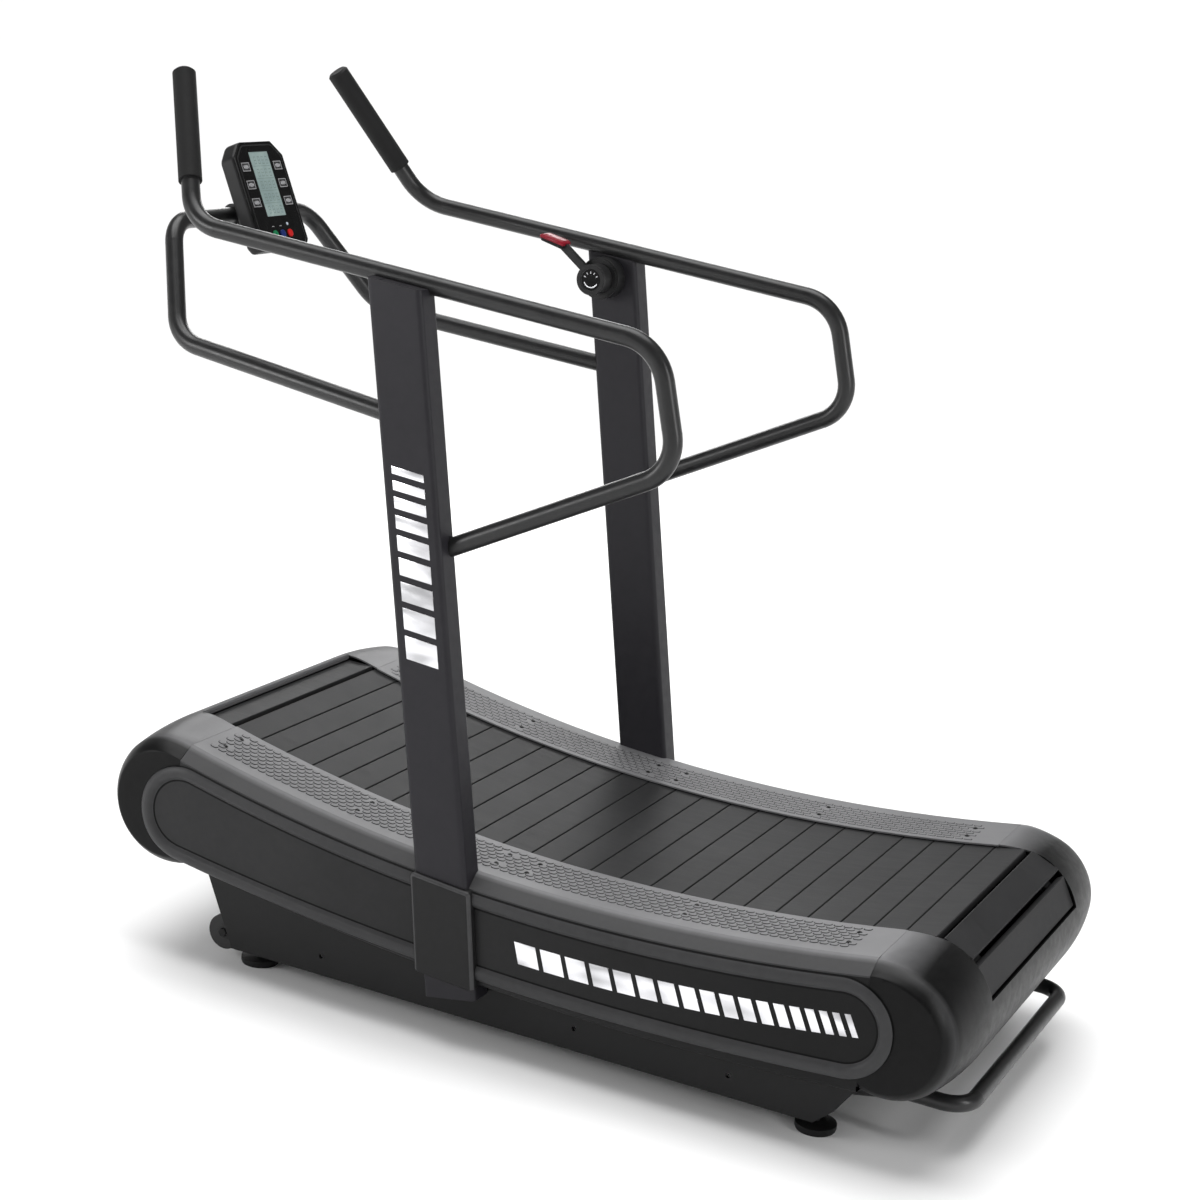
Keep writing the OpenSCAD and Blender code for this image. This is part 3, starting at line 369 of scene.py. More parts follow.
def make_materials():
    m = {}
    m["frame_paint"] = coated("frame_paint", grey(0.0065), grey(0.0095), 0.42, 700, 0.00007)
    m["tube_paint"] = coated("tube_paint", grey(0.0120), grey(0.0170), 0.34, 900, 0.00005, spec=0.35)
    m["upright_paint"] = coated("upright_paint", (0.0150, 0.0142, 0.0172), (0.0195, 0.0185, 0.0222),
                                0.46, 800, 0.00006, edge=0.002)
    m["grip_rubber"] = coated("grip_rubber", grey(0.0060), grey(0.0095), 0.66, 450, 0.00022, spec=0.25)
    m["console_plastic"] = coated("console_plastic", grey(0.013), grey(0.018), 0.5, 1500, 0.00005)
    m["panel_plastic"] = coated("panel_plastic", grey(0.004), grey(0.006), 0.22, 2500, 0.00001,
                                spec=0.12)
    m["display"] = display_material()
    m["legend"] = coated("legend", grey(0.022), grey(0.030), 0.3, 2500, 0.00001)
    m["key_green"] = coated("key_green", (0.004, 0.15, 0.055), (0.006, 0.20, 0.075), 0.28, 2000, 0.00001)
    m["key_blue"] = coated("key_blue", (0.008, 0.02, 0.12), (0.012, 0.03, 0.17), 0.28, 2000, 0.00001)
    m["key_red"] = coated("key_red", (0.45, 0.008, 0.008), (0.60, 0.014, 0.012), 0.28, 2000, 0.00001)
    # the cover's much darker rear pair is painted shade toward the rear
    m["cover_plastic"] = cover_material("cover_plastic", grey(0.0035), grey(0.0060),
                                        grey(0.0190), grey(0.0240))
    # the bead's lighter grey is painted highlight where its dome catches the light
    m["rim_painted_highlight"] = cover_material("rim_painted_highlight", grey(0.0360), grey(0.0440),
                                      grey(0.0340), grey(0.0420))
    # painted shade for the groove at the panel's edge and along the seam under the bead
    m["groove_and_seam_painted_shade"] = coated("groove_and_seam_painted_shade", grey(0.0020), grey(0.0035), 0.5, 1100, 0.00005,
                                 spec=0.08)
    # painted highlight for the sleeves' rounded top edge
    m["sleeve_edge_painted_highlight"] = coated("sleeve_edge_painted_highlight", grey(0.0400), grey(0.0520), 0.40, 1100, 0.00005)
    m["cap_plastic"] = coated("cap_plastic", grey(0.0045), grey(0.0080), 0.40, 1100, 0.00005, spec=0.12)
    # the last number sets how strong the painted highlight on each cap's crease is
    m["cap_front"] = cap_material("cap_front", SHIFT + CAP_SEAM_FRONT / 1000, 1, CAP_FADE_FRONT, 0.3)
    m["cap_rear"] = cap_material("cap_rear", SHIFT + CAP_SEAM_REAR / 1000, -1, CAP_FADE_REAR, 1.0)
    m["rail_plastic"] = rail_material()
    m["tread_rubber"] = coated("tread_rubber", grey(0.140), grey(0.185), 0.6, 1200, 0.00008)
    m["fastener"] = coated("fastener", grey(0.006), grey(0.010), 0.4, 900, 0.00003)
    m["steel"] = brushed("steel", (0.42, 0.42, 0.44), 0.32)
    m["slat_rubber"] = slat_material()
    m["belt_rubber"] = coated("belt_rubber", grey(0.006), grey(0.010), 0.7, 500, 0.0001, spec=0.3)
    m["bearing_steel"] = brushed("bearing_steel", (0.5, 0.5, 0.52), 0.25)
    m["pulley_metal"] = brushed("pulley_metal", (0.16, 0.16, 0.17), 0.38)
    m["flywheel_metal"] = brushed("flywheel_metal", (0.26, 0.26, 0.27), 0.35)
    m["magnet_metal"] = coated("magnet_metal", grey(0.02), grey(0.03), 0.45, 600, 0.00006)
    m["lever_plastic"] = coated("lever_plastic", grey(0.012), grey(0.017), 0.4, 1500, 0.00004)
    m["paddle_plastic"] = coated("paddle_plastic", (0.20, 0.006, 0.016), (0.27, 0.009, 0.022), 0.33,
                                 1500, 0.00002, edge=0.002)
    m["cable_sheath"] = coated("cable_sheath", grey(0.006), grey(0.009), 0.4, 900, 0.00003)
    m["wheel_rubber"] = coated("wheel_rubber", grey(0.010), grey(0.016), 0.55, 700, 0.0001, spec=0.4)
    m["foot_rubber"] = coated("foot_rubber", grey(0.007), grey(0.011), 0.45, 700, 0.00008)
    m["silver"] = silver_material()
    m["white_print"] = coated("white_print", grey(0.50), grey(0.62), 0.4, 2000, 0.00001)
    m["segment"] = coated("segment", (0.13, 0.18, 0.175), (0.15, 0.205, 0.195), 0.25, 2000, 0.00001)
    m["lamp"] = coated("lamp", (0.55, 0.62, 0.72), (0.75, 0.82, 0.92), 0.15, 2000, 0.00001)
    m["tread_shadow"] = coated("tread_shadow", grey(0.008), grey(0.014), 0.7, 900, 0.00006)
    m["sleeve_plastic"] = coated("sleeve_plastic", grey(0.0080), grey(0.0115), 0.42, 1100, 0.00005)
    m["hub_plastic"] = coated("hub_plastic", grey(0.060), grey(0.075), 0.4, 1500, 0.00004, spec=0.4)
    return m


def dress_nodes(mats):
    """Gives each CAD node the material that its record slot names."""
    for name, obj in nodes.items():
        obj.data.materials.clear()
        obj.data.materials.append(mats[SLOT_OF[name]])
        obj.data.shade_smooth()
        obj.data.set_sharp_from_angle(angle=math.radians(32))


# ---------------------------------------------------------------- mesh helpers

def finish_piece(name, bm, mats, smooth=35, body=BODY, replaces=()):
    """Makes an object of the mesh, shaded smooth up to an angle, ties it to its body and hides the CAD
    nodes it replaces.
    """
    bmesh.ops.remove_doubles(bm, verts=bm.verts, dist=1e-7)
    bmesh.ops.recalc_face_normals(bm, faces=bm.faces)
    mesh = bpy.data.meshes.new(name)
    bm.to_mesh(mesh)
    bm.free()
    obj = bpy.data.objects.new(name, mesh)
    bpy.context.scene.collection.objects.link(obj)
    for m in (mats if isinstance(mats, (list, tuple)) else [mats]):
        mesh.materials.append(m)
    mesh.shade_smooth()
    mesh.set_sharp_from_angle(angle=math.radians(smooth))
    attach(obj, body)
    if replaces:
        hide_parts(*replaces)
    return obj


def ring_faces(bm, rows, closed_ring=True, slot=0):
    """Quads between successive rows of vertices."""
    for a, b in zip(rows, rows[1:]):
        n = len(a)
        for i in range(n if closed_ring else n - 1):
            j = (i + 1) % n
            face = bm.faces.new((a[i], a[j], b[j], b[i]))
            face.material_index = slot


def loft(bm, outlines, first=True, last=True, slot=0):
    """Skin over closed outlines of 3-D points, with its two ends filled where asked."""
    rows = [[bm.verts.new(p) for p in line] for line in outlines]
    ring_faces(bm, rows, slot=slot)
    for wanted, row in ((first, rows[0]), (last, rows[-1])):
        if wanted:
            bm.faces.new(row).material_index = slot
    return rows


def rounded(points, radii, n=6):
    """Closed 2-D outline with an arc of the given radius at each corner."""
    out = []
    for i, p in enumerate(points):
        u = (points[i - 1] - p).normalized()
        v = (points[(i + 1) % len(points)] - p).normalized()
        half = u.angle(v) / 2
        centre = p + (u + v).normalized() * (radii[i] / math.sin(half))
        arm = p + u * (radii[i] / math.tan(half)) - centre
        sweep = (math.pi - 2 * half) * (1 if u.x * v.y - u.y * v.x < 0 else -1)
        for k in range(n + 1):
            a = sweep * k / n
            out.append(centre + Vector((arm.x * math.cos(a) - arm.y * math.sin(a),
                                        arm.x * math.sin(a) + arm.y * math.cos(a))))
    return out


def inset_polygon(points, d):
    """Convex counter-clockwise polygon with every edge moved inward by d."""
    out = []
    for i, p in enumerate(points):
        u = (p - points[i - 1]).normalized()
        v = (points[(i + 1) % len(points)] - p).normalized()
        nu, nv = Vector((-u.y, u.x)), Vector((-v.y, v.x))
        out.append(p + (nu + nv) * (d / (1 + nu.dot(nv))))
    return out


def ball_cap(bm, centre, axis, radius, height):
    """Low dome of the given radius and height standing along axis."""
    n = 16
    axis = axis.normalized()
    side = axis.orthogonal().normalized()
    other = axis.cross(side)
    rows = []
    for k in range(5):
        a = math.pi / 2 * k / 5
        ring = []
        for i in range(n):
            t = 2 * math.pi * i / n
            ring.append(centre + axis * (height * math.sin(a))
                        + (side * math.cos(t) + other * math.sin(t)) * (radius * math.cos(a)))
        rows.append(ring)
    loft(bm, rows)


# ---------------------------------------------------------------- side covers and sleeves

DECK = Vector((-116, 3574))
RACE_FRONT, RACE_REAR = Vector((665, 287.6)), Vector((-605, 234.6))
RACE_LOW = Vector((-173, 5458.9))
COVER_LOW = Vector((-250, 5414.5))
COVER_LOW_R = 5300
SEAM_REAR, SEAM_FRONT = -639.7, 675.7
CAP_SEAM_REAR, CAP_SEAM_FRONT = -640, 676
RAIL_TOP = 3265


def on_arc(centre, radius, angle):
    """Point at an angle from straight down, positive toward the front."""
    return Vector((centre.x + radius * math.sin(angle), centre.y - radius * math.cos(angle)))


def down_angle(centre, point):
    return math.atan2(point.x - centre.x, centre.y - point.y)


def arc_points(centre, radius, start, stop, n):
    return [on_arc(centre, radius, start + (stop - start) * i / n) for i in range(n)]


def race_outline(inset):
    """Racetrack outline in the XZ plane, in millimetres, at a distance inside its outer edge."""
    top_rear, top_front = down_angle(DECK, RACE_REAR), down_angle(DECK, RACE_FRONT)
    low_front, low_rear = down_angle(RACE_LOW, RACE_FRONT), down_angle(RACE_LOW, RACE_REAR)
    return (arc_points(DECK, 3289 + inset, top_rear, top_front, 64)
            + arc_points(RACE_FRONT, 88.8 - inset, math.pi + top_front, low_front, 36)
            + arc_points(RACE_LOW, 5328 - inset, low_front, low_rear, 64)
            + arc_points(RACE_REAR, 86 - inset, low_rear, top_rear - math.pi, 36))


# distance inside the racetrack's edge and height of the surface, from the seam to the panel
RIM = ((0.0, 421.1), (0.3, 423.3), (1.0, 424.6), (3.0, 426.3), (6.0, 427.9), (9.5, 429.3), (13.0, 430.0),
       (16.2, 429.8), (19.2, 428.6), (22.0, 426.5), (24.2, 423.9), (25.4, 422.7), (28.6, 422.4))


def cover_low_z(x, lift=0.0):
    return COVER_LOW.y - math.sqrt((COVER_LOW_R - lift) ** 2 - (x - COVER_LOW.x) ** 2)


def side_cover(side, mats, name, node):
    bm = bmesh.new()
    rows = [[bm.verts.new(pt(p.x, side * y, p.y)) for p in race_outline(inset)] for inset, y in RIM]
    # slot 2 is painted shade: near black along the seam under the bead and in the groove at the panel's
    # edge
    ring_faces(bm, rows[:3], slot=2)
    # slot 1 gives the bead a lighter grey than the panel, as painted highlight on its dome
    ring_faces(bm, rows[2:12], slot=1)
    ring_faces(bm, rows[11:], slot=2)
    bm.faces.new(rows[-1])
    # plate behind the racetrack, with its lower edge rolled inward
    roll = ((0, 392.0), (0, 408.0), (0.9, 413.5), (3.2, 417.8), (6.5, 420.2), (11.0, 421.1),
            (60.0, 421.1))
    steps = 96
    xs = [SEAM_REAR + (SEAM_FRONT - SEAM_REAR) * i / steps for i in range(steps + 1)]
    rows = [[bm.verts.new(pt(x, side * y, cover_low_z(x, lift))) for x in xs] for lift, y in roll]
    rows.append([bm.verts.new(pt(x, side * 421.1, DECK.y - math.sqrt(3287.5 ** 2 - (x - DECK.x) ** 2)))
                 for x in xs])
    ring_faces(bm, rows, closed_ring=False)
    skins = [mats[k] for k in ("cover_plastic", "rim_painted_highlight", "groove_and_seam_painted_shade")]
    return finish_piece(name, bm, skins, 40, replaces=(node,))


def sleeve_outline(d):
    """Sleeve outline in the XZ plane, drawn inward by d on every side but the bottom."""
    lean, rise = 0.1355, 34 / 350
    wide, tall = d * math.hypot(1, lean), d * math.hypot(1, rise)

    def corner(foot_x, shift):
        x = (foot_x + lean * (191 + 50 * rise - tall) + shift) / (1 - lean * rise)
        return Vector((x, 281 + (x + 50) * rise - tall))

    top_rear, top_front = corner(40.7, wide), corner(158, -wide)
    low_rear = Vector((40.7 + lean * 33 + wide, cover_low_z(45, -d * 0.3)))
    low_front = Vector((158 + lean * 40 - wide, cover_low_z(163, -d * 0.3)))
    r = max(9 - d, 1.2)
    return rounded([low_rear, low_front, top_front, top_rear], [1, 1, r, r])


def sleeves(mats):
    bm = bmesh.new()
    shell = ((0, 421.3), (0, 430.0), (0.5, 432.8), (1.8, 435.2), (3.8, 436.9), (6.2, 437.8),
             (9.0, 438.0))
    for side in (1, -1):
        lines = [[pt(p.x, side * y, p.y) for p in sleeve_outline(d)] for d, y in shell]
        loft(bm, lines[:3], last=False)
        # slot 1, the rounded top edge, takes a lighter grey as painted highlight
        loft(bm, lines[2:6], False, False, 1)
        loft(bm, lines[5:], first=False)
    finish_piece("sleeve_shells", bm, [mats["sleeve_plastic"], mats["sleeve_edge_painted_highlight"]], 50,
                 replaces=("sleeves",))


# ---------------------------------------------------------------- end caps

# how far the foot rail's section falls below its top, by distance from the middle
RAIL_DROP = ((0, 0.0), (384, 0.0), (392, 2.5), (408, 12.0), (421, 20.0))
CAP_Y, CREASE_Y, COVER_Y, SHOULDER_R = 250, 392, 421, 70


def rail_drop(y):
    for (y0, d0), (y1, d1) in zip(RAIL_DROP, RAIL_DROP[1:]):
        if y <= y1:
            return d0 + (d1 - d0) * (y - y0) / (y1 - y0)
    return RAIL_DROP[-1][1]


def cap_profile(full, crease):
    """Half profile of a cap as (radius, y, fade): crowned barrel, rounded shoulder, flat end."""
    out = [(full, 0.0, 1.0), (full, CAP_Y / 2, 1.0)]
    wide, sag = CREASE_Y - CAP_Y, full - crease
    bow = (wide ** 2 + sag ** 2) / (2 * sag)
    for i in range(9):
        a = math.asin(wide / bow) * i / 8
        out.append((full - bow + bow * math.cos(a), CAP_Y + bow * math.sin(a), 1.0))
    tall, drop = COVER_Y - CREASE_Y, 20
    half = math.hypot(drop, tall) / 2
    off = math.sqrt(SHOULDER_R ** 2 - half ** 2)
    cr, cy = crease - drop / 2 - off * tall / (2 * half), CREASE_Y + tall / 2 - off * drop / (2 * half)
    a0 = math.atan2(CREASE_Y - cy, crease - cr)
    a1 = math.asin((COVER_Y - cy) / SHOULDER_R)
    for i in range(1, 8):
        a = a0 + (a1 - a0) * i / 8
        out.append((cr + SHOULDER_R * math.cos(a), cy + SHOULDER_R * math.sin(a), 1.0))
    edge = cr + SHOULDER_R * math.cos(a1)
    out += [(edge + 0.8, COVER_Y - 0.9, 1.0), (edge - 0.8, COVER_Y - 0.2, 1.0),
            (edge - 2.5, COVER_Y, 1.0)]
    out += [(edge * k, COVER_Y, (edge * k - 37) / (edge - 37)) for k in (0.82, 0.62)]
    out.append((37, COVER_Y, 0.0))
    return out


def cap_shell(name, node, mats, centre, seam, way, radii, slope, stops, reach, lip=None):
    """Moulded end cap: a crowned barrel that grows out of the foot rails' section at the seam.

    way is +1 at the front and -1 at the rear; radii are the barrel's in the middle and at the crease;
    slope is the rail's rise at the seam against the barrel's own; stops are the turns, from straight
    up, between which the barrel also runs across the belt; reach is how far the rail's section fades."""
    gap = abs(seam - centre.x)
    half = cap_profile(*radii)
    rail_top = DECK.y - math.sqrt(RAIL_TOP ** 2 - (seam - DECK.x) ** 2)
    steps = (20, 40, 12)
    bm = bmesh.new()
    rows, sides = [], []
    for sign in (-1, 1):
        for r, y, fade in (half[::-1] if sign < 0 else half[1:]):
            tuck = math.asin(gap / r)
            turns = [-tuck, math.radians(stops[0]), math.radians(stops[1]), math.pi + tuck]
            lift = (rail_top - rail_drop(y)) - (centre.y + math.sqrt(r * r - gap * gap))
            row = []
            for n, a, b in zip(steps, turns, turns[1:]):
                for i in range(n + (1 if b == turns[-1] else 0)):
                    t = a + (b - a) * i / n
                    run = r * (t + tuck)
                    k = min(run / reach, 1.0)
                    ease = 1 - k * k * (3 - 2 * k)
                    rise = (lift * fade + slope * run * fade) * ease
                    row.append(bm.verts.new(pt(centre.x + way * r * math.sin(t), sign * y,
                                               centre.y + r * math.cos(t) + rise)))
            rows.append(row)
            sides.append(sign * y)
    first, last = steps[0], steps[0] + steps[1]
    for (a, ya), (b, yb) in zip(zip(rows, sides), zip(rows[1:], sides[1:])):
        inside = max(abs(ya), abs(yb)) <= CAP_Y + 0.01
        for i in range(len(a) - 1):
            if inside and (i >= last or i < first):
                continue
            bm.faces.new((a[i], a[i + 1], b[i + 1], b[i]))
    bm.faces.new(rows[0])
    bm.faces.new(rows[-1])
    if lip:
        edge = [row[first] for row, y in zip(rows, sides) if abs(y) <= CAP_Y + 0.01]
        lines = [edge]
        for dx, z in lip:
            lines.append([bm.verts.new(Vector((v.co.x - way * dx / 1000, v.co.y, z / 1000)))
                          for v in edge])
        ring_faces(bm, lines, closed_ring=False, slot=1)
    bmesh.ops.recalc_face_normals(bm, faces=bm.faces)
    bmesh.ops.solidify(bm, geom=list(bm.faces), thickness=0.0032)
    return finish_piece(name, bm, mats, 38, replaces=(node,))


def end_caps(mats):
    cap_shell("cap_front", "front_cap", [mats["cap_front"], mats["rail_plastic"]], Vector((709, 296)),
              CAP_SEAM_FRONT, 1, (132, 119), -0.008, (16.73, 189.2), 100,
              ((0.6, 421.6), (1.0, 420.6), (1.0, 413.6)))
    cap_shell("cap_rear", "rear_cap", [mats["cap_rear"]], Vector((-676, 233)),
              CAP_SEAM_REAR, -1, (124.5, 112), -0.139, (72.7, 168.9), 90)


# ---------------------------------------------------------------- tread studs on the foot rails

SCREWS = [(x, y) for x in (-570, -282, 15, 75, 357, 640) for y in (283, 333)]
STUD_ROWS, STUD_PITCH, STUD_STEP = 8, 17.2, 12.4
STUD_START, STUD_END, STUD_INNER = -578, 655, 265.5
# half sizes of the clearing round a screw
CLEAR_X, CLEAR_Y = 10, 6


def on_rail(x, y, lift):
    """Point a little above the foot rail's surface."""
    r = RAIL_TOP - lift
    return pt(x, y, DECK.y - math.sqrt(r * r - (x - DECK.x) ** 2))


def stud(bm, x, y, side):
    """Rounded stud with dark walls; its top falls away toward the belt."""
    shape = rounded([Vector((-6.6, -4.4)), Vector((6.6, -4.4)), Vector((5.8, 4.4)), Vector((-5.8, 4.4))],
                    [1.6, 1.6, 3.8, 3.8], 3)
    rows = []
    for scale, foot in ((1.17, 0.15), (1.0, 0.2), (0.96, 0.9), (0.86, 1.2)):
        row = []
        for q in shape:
            height = foot * (0.8 + 0.2 * q.y / 5)
            row.append(bm.verts.new(on_rail(x + q.x * scale, side * (y + q.y * scale), height)))
        rows.append(row)
    ring_faces(bm, rows[:3], slot=1)
    ring_faces(bm, rows[2:], slot=0)
    bm.faces.new(rows[-1])


def screw_cup(bm, x, y):
    rows = []
    for radius, lift in ((4.6, 0.0), (4.2, 0.7), (3.4, 0.7), (3.0, 0.1)):
        rows.append([bm.verts.new(on_rail(x + radius * math.cos(a), y + radius * math.sin(a), lift))
                     for a in (2 * math.pi * i / 18 for i in range(18))])
    ring_faces(bm, rows, slot=1)
    bm.faces.new(rows[-1]).material_index = 1


def tread_studs(mats):
    bm = bmesh.new()
    for side in (1, -1):
        for r in range(STUD_ROWS):
            y = STUD_INNER + r * STUD_STEP
            shifted = r % 2
            for k in range(int((STUD_END - STUD_START) / STUD_PITCH) + 1):
                x = STUD_START + STUD_PITCH * (k + 0.5 * shifted)
                if x > STUD_END - (0 if shifted else 4):
                    continue
                if any(abs(x - sx) < CLEAR_X and abs(y - sy) < CLEAR_Y for sx, sy in SCREWS):
                    continue
                stud(bm, x, y, side)
        for x, y in SCREWS:
            screw_cup(bm, x, side * y)
    finish_piece("tread_studs", bm, [mats["tread_rubber"], mats["tread_shadow"]], 30,
                 replaces=("tread_strips",))


# ---------------------------------------------------------------- uprights' top plates

POST_FOOT = (131, 302)
POST_MID_Y, POST_W, POST_T, POST_R = 403, 100, 52, 9
POST_LEAN = math.radians(9.78)
# the handrail's axis over an upright, as height at x = 0 and rise
HANDRAIL = (1269.23, 0.087838)


def upright_lids(mats):
    """Plate that closes each upright under its handrail."""
    up, fore = (math.sin(POST_LEAN), math.cos(POST_LEAN)), (math.cos(POST_LEAN), -math.sin(POST_LEAN))
    bm = bmesh.new()
    for side in (1, -1):
        lines = []
        for inset, drop in ((2.6, 9.0), (2.6, 5.7), (3.0, 5.3)):
            a, b = POST_W / 2 - inset, POST_T / 2 - inset
            corners = [Vector(q) for q in ((-a, -b), (a, -b), (a, b), (-a, b))]
            line = []
            for q in rounded(corners, [max(POST_R - inset, 0.5)] * 4, 5):
                x0, z0 = POST_FOOT[0] + fore[0] * q.x, POST_FOOT[1] + fore[1] * q.x
                rise = (HANDRAIL[0] + HANDRAIL[1] * x0 - drop - z0) / (up[1] - HANDRAIL[1] * up[0])
                line.append(pt(x0 + up[0] * rise, side * (POST_MID_Y + q.y), z0 + up[1] * rise))
            lines.append(line)
        loft(bm, lines)
    finish_piece("upright_lids", bm, mats["upright_paint"], 35)


# ---------------------------------------------------------------- silver stripes

def slanted_bar(bm, at, along, across, out, length, width, slant, thick=0.0007):
    """Slanted bar with softened edges, standing off a surface."""
    rows = []
    for inset, lift in ((0, 0), (0, thick * 0.6), (0.0006, thick)):
        row = []
        for sx, sy in ((-1, -1), (1, -1), (1, 1), (-1, 1)):
            u = sx * (length / 2 - inset) + sy * slant
            row.append(at + along * u + across * (sy * (width / 2 - inset)) + out * lift)
        rows.append(row)
    loft(bm, rows)


def upright_stripes(mats):
    """Rising stack of slanted bars on the outer face of each upright."""
    up = Vector((math.sin(POST_LEAN), 0, math.cos(POST_LEAN)))
    fore = Vector((math.cos(POST_LEAN), 0, -math.sin(POST_LEAN)))
    outer = POST_MID_Y + POST_T / 2 + 0.05
    bm = bmesh.new()
    for side in (1, -1):
        place = 372.0
        for k in range(9):
            tall = 40 - 3.4 * k
            at = pt(POST_FOOT[0], side * outer, POST_FOOT[1]) + up * ((place + tall / 2) / 1000)
            slanted_bar(bm, at, up, fore, Vector((0, side, 0)), tall / 1000, 0.060, 0.008)
            place += tall + 11
    finish_piece("upright_stripes", bm, mats["silver"], 30)


def panel_stripes(mats):
    """Row of slanted bars that thin out toward the rear of each side panel."""
    radius, high, gap = 3370, 38, 9
    bm = bmesh.new()
    for side in (1, -1):
        place = DECK.x + radius * math.sin(math.radians(1.6))
        for k in range(18):
            wide = 40 - 1.75 * k
            a = (place - wide / 2 - DECK.x) / radius
            p = on_arc(DECK, radius, a)
            along = Vector((math.cos(a), 0, math.sin(a)))
            across = Vector((-along.z, 0, along.x))
            slanted_bar(bm, pt(p.x, side * 422.35, p.y), along, across, Vector((0, side, 0)),
                        wide / 1000, high / 1000, 0.006)
            place -= wide + gap
    finish_piece("panel_stripes", bm, mats["silver"], 30)


# ---------------------------------------------------------------- console

CONSOLE_AT = (785, 0, 1257)
CONSOLE_TILT = math.radians(24.5)


def con(x, y, z):
    """A point of the console: x into it, y to the runner's left, z up its face."""
    c, s = math.cos(CONSOLE_TILT), math.sin(CONSOLE_TILT)
    return pt(CONSOLE_AT[0] + x * c + z * s, y, CONSOLE_AT[2] - x * s + z * c)


def console_shell(mats):
    face = [Vector(q) for q in ((-69, 0), (69, 0), (79, 12), (79, 178), (51, 206), (-51, 206),
                                (-79, 178), (-79, 12))]
    radii = (8, 8, 8, 16, 22, 22, 16, 8)
    shell = ((9.2, 0.0), (9.0, -0.5), (8.2, -0.7), (7.2, -0.4), (1.2, 5.4), (0.2, 7.0), (0.0, 9.0),
             (0.0, 27.0), (0.5, 30.0), (1.8, 32.8), (4.0, 34.9), (7.0, 36.0))
    bm = bmesh.new()
    lines = []
    for d, x in shell:
        corners = inset_polygon(face, d)
        turns = [r - 0.6 * min(d, 6) for r in radii]
        lines.append([con(x, q.x, q.y) for q in rounded(corners, turns, 7)])
    loft(bm, lines, first=False)
    box = [Vector(q) for q in ((-38, 30), (38, 30), (38, 150), (-38, 150))]
    lines = [[con(x, q.x, q.y) for q in rounded(inset_polygon(box, d), [7 - d] * 4, 6)]
             for d, x in ((0, 35.8), (0, 39.6), (0.6, 41.0), (2.0, 42.0))]
    loft(bm, lines, first=False)
    for s in (1, -1):
        for z in (45, 165):
            ball_cap(bm, con(36, s * 55, z), con(1, 0, 0) - con(0, 0, 0), 0.0035, 0.0014)
    finish_piece("console_shell", bm, mats["console_plastic"], 40,
                 replaces=("console_housing", "console_back"))


def flat_bar(bm, x, y0, z0, y1, z1, lift=0.25):
    """Raised print on the console, between two corners of its face."""
    corners = ((y0, z0), (y1, z0), (y1, z1), (y0, z1))
    loft(bm, [[con(x, *q) for q in corners], [con(x - lift, *q) for q in corners]], first=False)


# a digit's segments: left and bottom, width and height, as shares of the digit
SEGMENTS = ((0, 1, 1, 0.12), (0, 0.5, 1, 0.12), (0, 0, 1, 0.12), (0, 0.5, 0.2, 0.55),
            (0.8, 0.5, 0.2, 0.55), (0, 0, 0.2, 0.55), (0.8, 0, 0.2, 0.55))


def display_rows(mats):
    """Idle segments of the liquid crystal window, with a rule between its rows."""
    bm = bmesh.new()
    for row in range(5):
        base = 68 + 23.6 * row
        if row:
            flat_bar(bm, 0.58, -28, base - 4.2, 28, base - 3.6, 0.03)
        for digit in range(4):
            left = 20 - 12.5 * digit
            for dx, dz, w, h in SEGMENTS:
                y1 = left - dx * 7.5
                z0 = base + dz * 13
                flat_bar(bm, 0.58, y1 - w * 7.5 + 0.5, z0, y1 - 0.5, z0 + h * 13 - 0.5, 0.03)
    finish_piece("display_segments", bm, mats["segment"], 30)


# the four sides of a label's frame, each as its corners from the label's middle
LABEL_FRAME = ((-12, -8, 12, -7.1), (-12, 7.1, 12, 8), (-12, -8, -11.1, 8), (11.1, -8, 12, 8))


def label_marks(mats):
    """White frames with a plain tally mark in each label box beside the display."""
    bm = bmesh.new()
    for s in (1, -1):
        for k in range(3):
            y, z = s * 52, 158 - 34 * k
            for a, b, c, d in LABEL_FRAME:
                flat_bar(bm, 0.28, y + a, z + b, y + c, z + d)
            for j in range(4):
                tall = 8 - 2 * abs(j - 1.5)
                flat_bar(bm, 0.28, y - 7.5 + 4 * j, z - tall / 2, y - 5.2 + 4 * j, z + tall / 2)
    for q in (24, 0):
        flat_bar(bm, -0.02, q - 3.2, 42.5, q + 3.2, 43.6)
    finish_piece("label_marks", bm, mats["white_print"], 30)
    bm = bmesh.new()
    ball_cap(bm, con(0.0, -24, 46), con(-1, 0, 0) - con(0, 0, 0), 0.0030, 0.0016)
    finish_piece("signal_lamp", bm, mats["lamp"], 30)


# ---------------------------------------------------------------- brake lever

LEVER = (305, 1240)
LEVER_UP = math.radians(37)


def arc_ribbon(bm, y, r0, r1, start, stop, lift, n=20):
    """Flat ribbon bent round the lever's axis, raised toward +Y."""
    inner, outer = [], []
    for i in range(n + 1):
        a = math.radians(start + (stop - start) * i / n)
        inner.append((LEVER[0] + r0 * math.cos(a), LEVER[1] + r0 * math.sin(a)))
        outer.append((LEVER[0] + r1 * math.cos(a), LEVER[1] + r1 * math.sin(a)))
    line = inner + outer[::-1]
    loft(bm, [[pt(x, y, z) for x, z in line], [pt(x, y + lift, z) for x, z in line]], first=False)


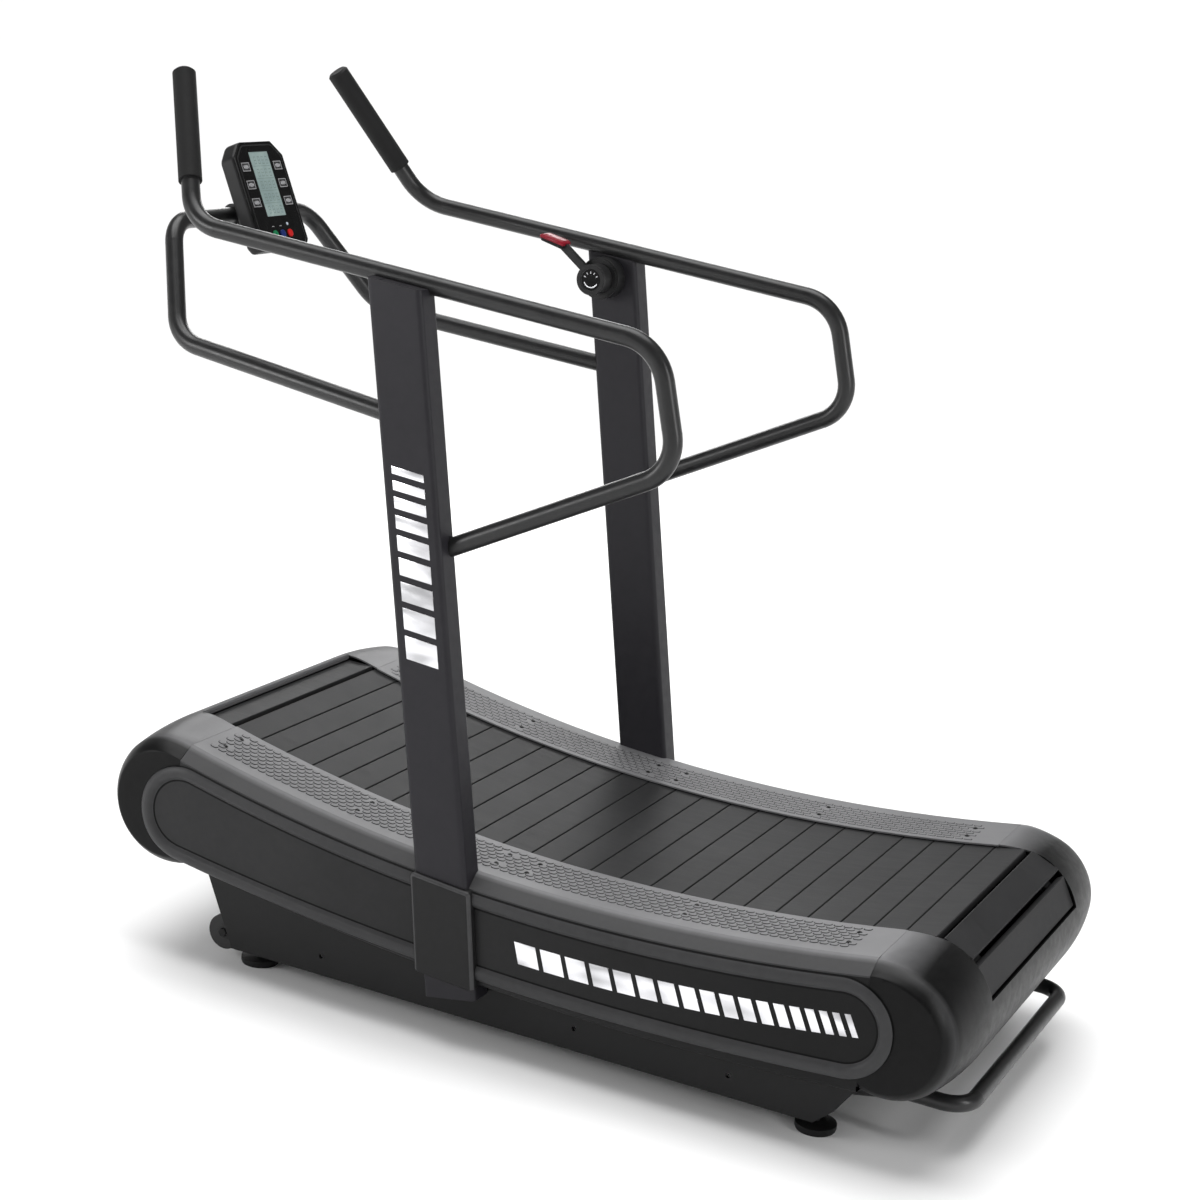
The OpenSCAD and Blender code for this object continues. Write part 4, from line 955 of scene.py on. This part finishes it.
def lever_face(mats):
    """Dark dial in the lever's hub with a silver arc and ticks."""
    bm = bmesh.new()
    arc_ribbon(bm, -310.9, 13.5, 15.6, 205, 335, 0.5)
    for a in range(20, 180, 32):
        arc_ribbon(bm, -310.9, 11.5, 15.8, a - 4, a + 4, 0.5, 3)
    finish_piece("lever_dial_marks", bm, mats["silver"], 30, body="brake_lever")
    bm = bmesh.new()
    profile = ((29.0, -316.0), (29.0, -310.2), (28.4, -308.9), (27.2, -308.2), (25.6, -308.0),
               (22.6, -308.2), (21.6, -308.9), (21.2, -310.2), (20.4, -310.9))
    lines = [[pt(LEVER[0] + r * math.cos(a), y, LEVER[1] + r * math.sin(a))
              for a in (2 * math.pi * i / 72 for i in range(72))] for r, y in profile]
    rows = loft(bm, lines, False, False)
    bm.faces.new(rows[-1]).material_index = 1
    finish_piece("lever_hub_ring", bm, [mats["hub_plastic"], mats["panel_plastic"]], 35,
                 body="brake_lever")


def paddle_point(u, y, w):
    """A point of the paddle: u along it, w up from its underside."""
    tilt = math.radians(12)
    x = LEVER[0] + 93 * math.cos(LEVER_UP) + (u - 9) * math.cos(tilt) - (w - 7) * math.sin(tilt)
    z = LEVER[1] + 93 * math.sin(LEVER_UP) + (u - 9) * math.sin(tilt) + (w - 7) * math.cos(tilt)
    return pt(x, y, z)


def paddle_shell(bm, corners, radii, half, edge):
    """Bar with a rounded section and rounded ends, along the cross axis."""
    lines = []
    for d, y in ((edge, -half), (edge * 0.35, -half + edge * 0.35), (0, -half + edge), (0, half - edge),
                 (edge * 0.35, half - edge * 0.35), (edge, half)):
        section = rounded(inset_polygon(corners, d), [max(r - d * 0.5, 0.4) for r in radii], 6)
        lines.append([paddle_point(q.x, -328 + y, q.y) for q in section])
    loft(bm, lines)


def lever_paddle(mats):
    bm = bmesh.new()
    top = [Vector(q) for q in ((0.5, 7.0), (53.5, 8.0), (53.5, 12.5), (49, 16), (6, 16), (0.5, 12.5))]
    paddle_shell(bm, top, (2, 2, 2.4, 5, 5, 2.4), 17, 2.2)
    finish_piece("paddle_top", bm, mats["paddle_plastic"], 40, body="brake_lever",
                 replaces=("lever_paddle",))
    bm = bmesh.new()
    low = [Vector(q) for q in ((3.0, 0.5), (49, 2.5), (52.2, 7.4), (52.2, 10.0), (1.6, 9.6), (1.6, 6.6))]
    paddle_shell(bm, low, (2, 2, 2, 1, 1, 2), 15.6, 2.6)
    finish_piece("paddle_grip", bm, mats["grip_rubber"], 40, body="brake_lever")


# ---------------------------------------------------------------- assembly

make_camera()
make_floor()
make_light()
mats = make_materials()
dress_nodes(mats)
side_cover(1, mats, "cover_left", "side_cover_left")
side_cover(-1, mats, "cover_right", "side_cover_right")
sleeves(mats)
end_caps(mats)
tread_studs(mats)
upright_lids(mats)
upright_stripes(mats)
panel_stripes(mats)
console_shell(mats)
display_rows(mats)
label_marks(mats)
lever_face(mats)
lever_paddle(mats)

bpy.context.view_layer.update()
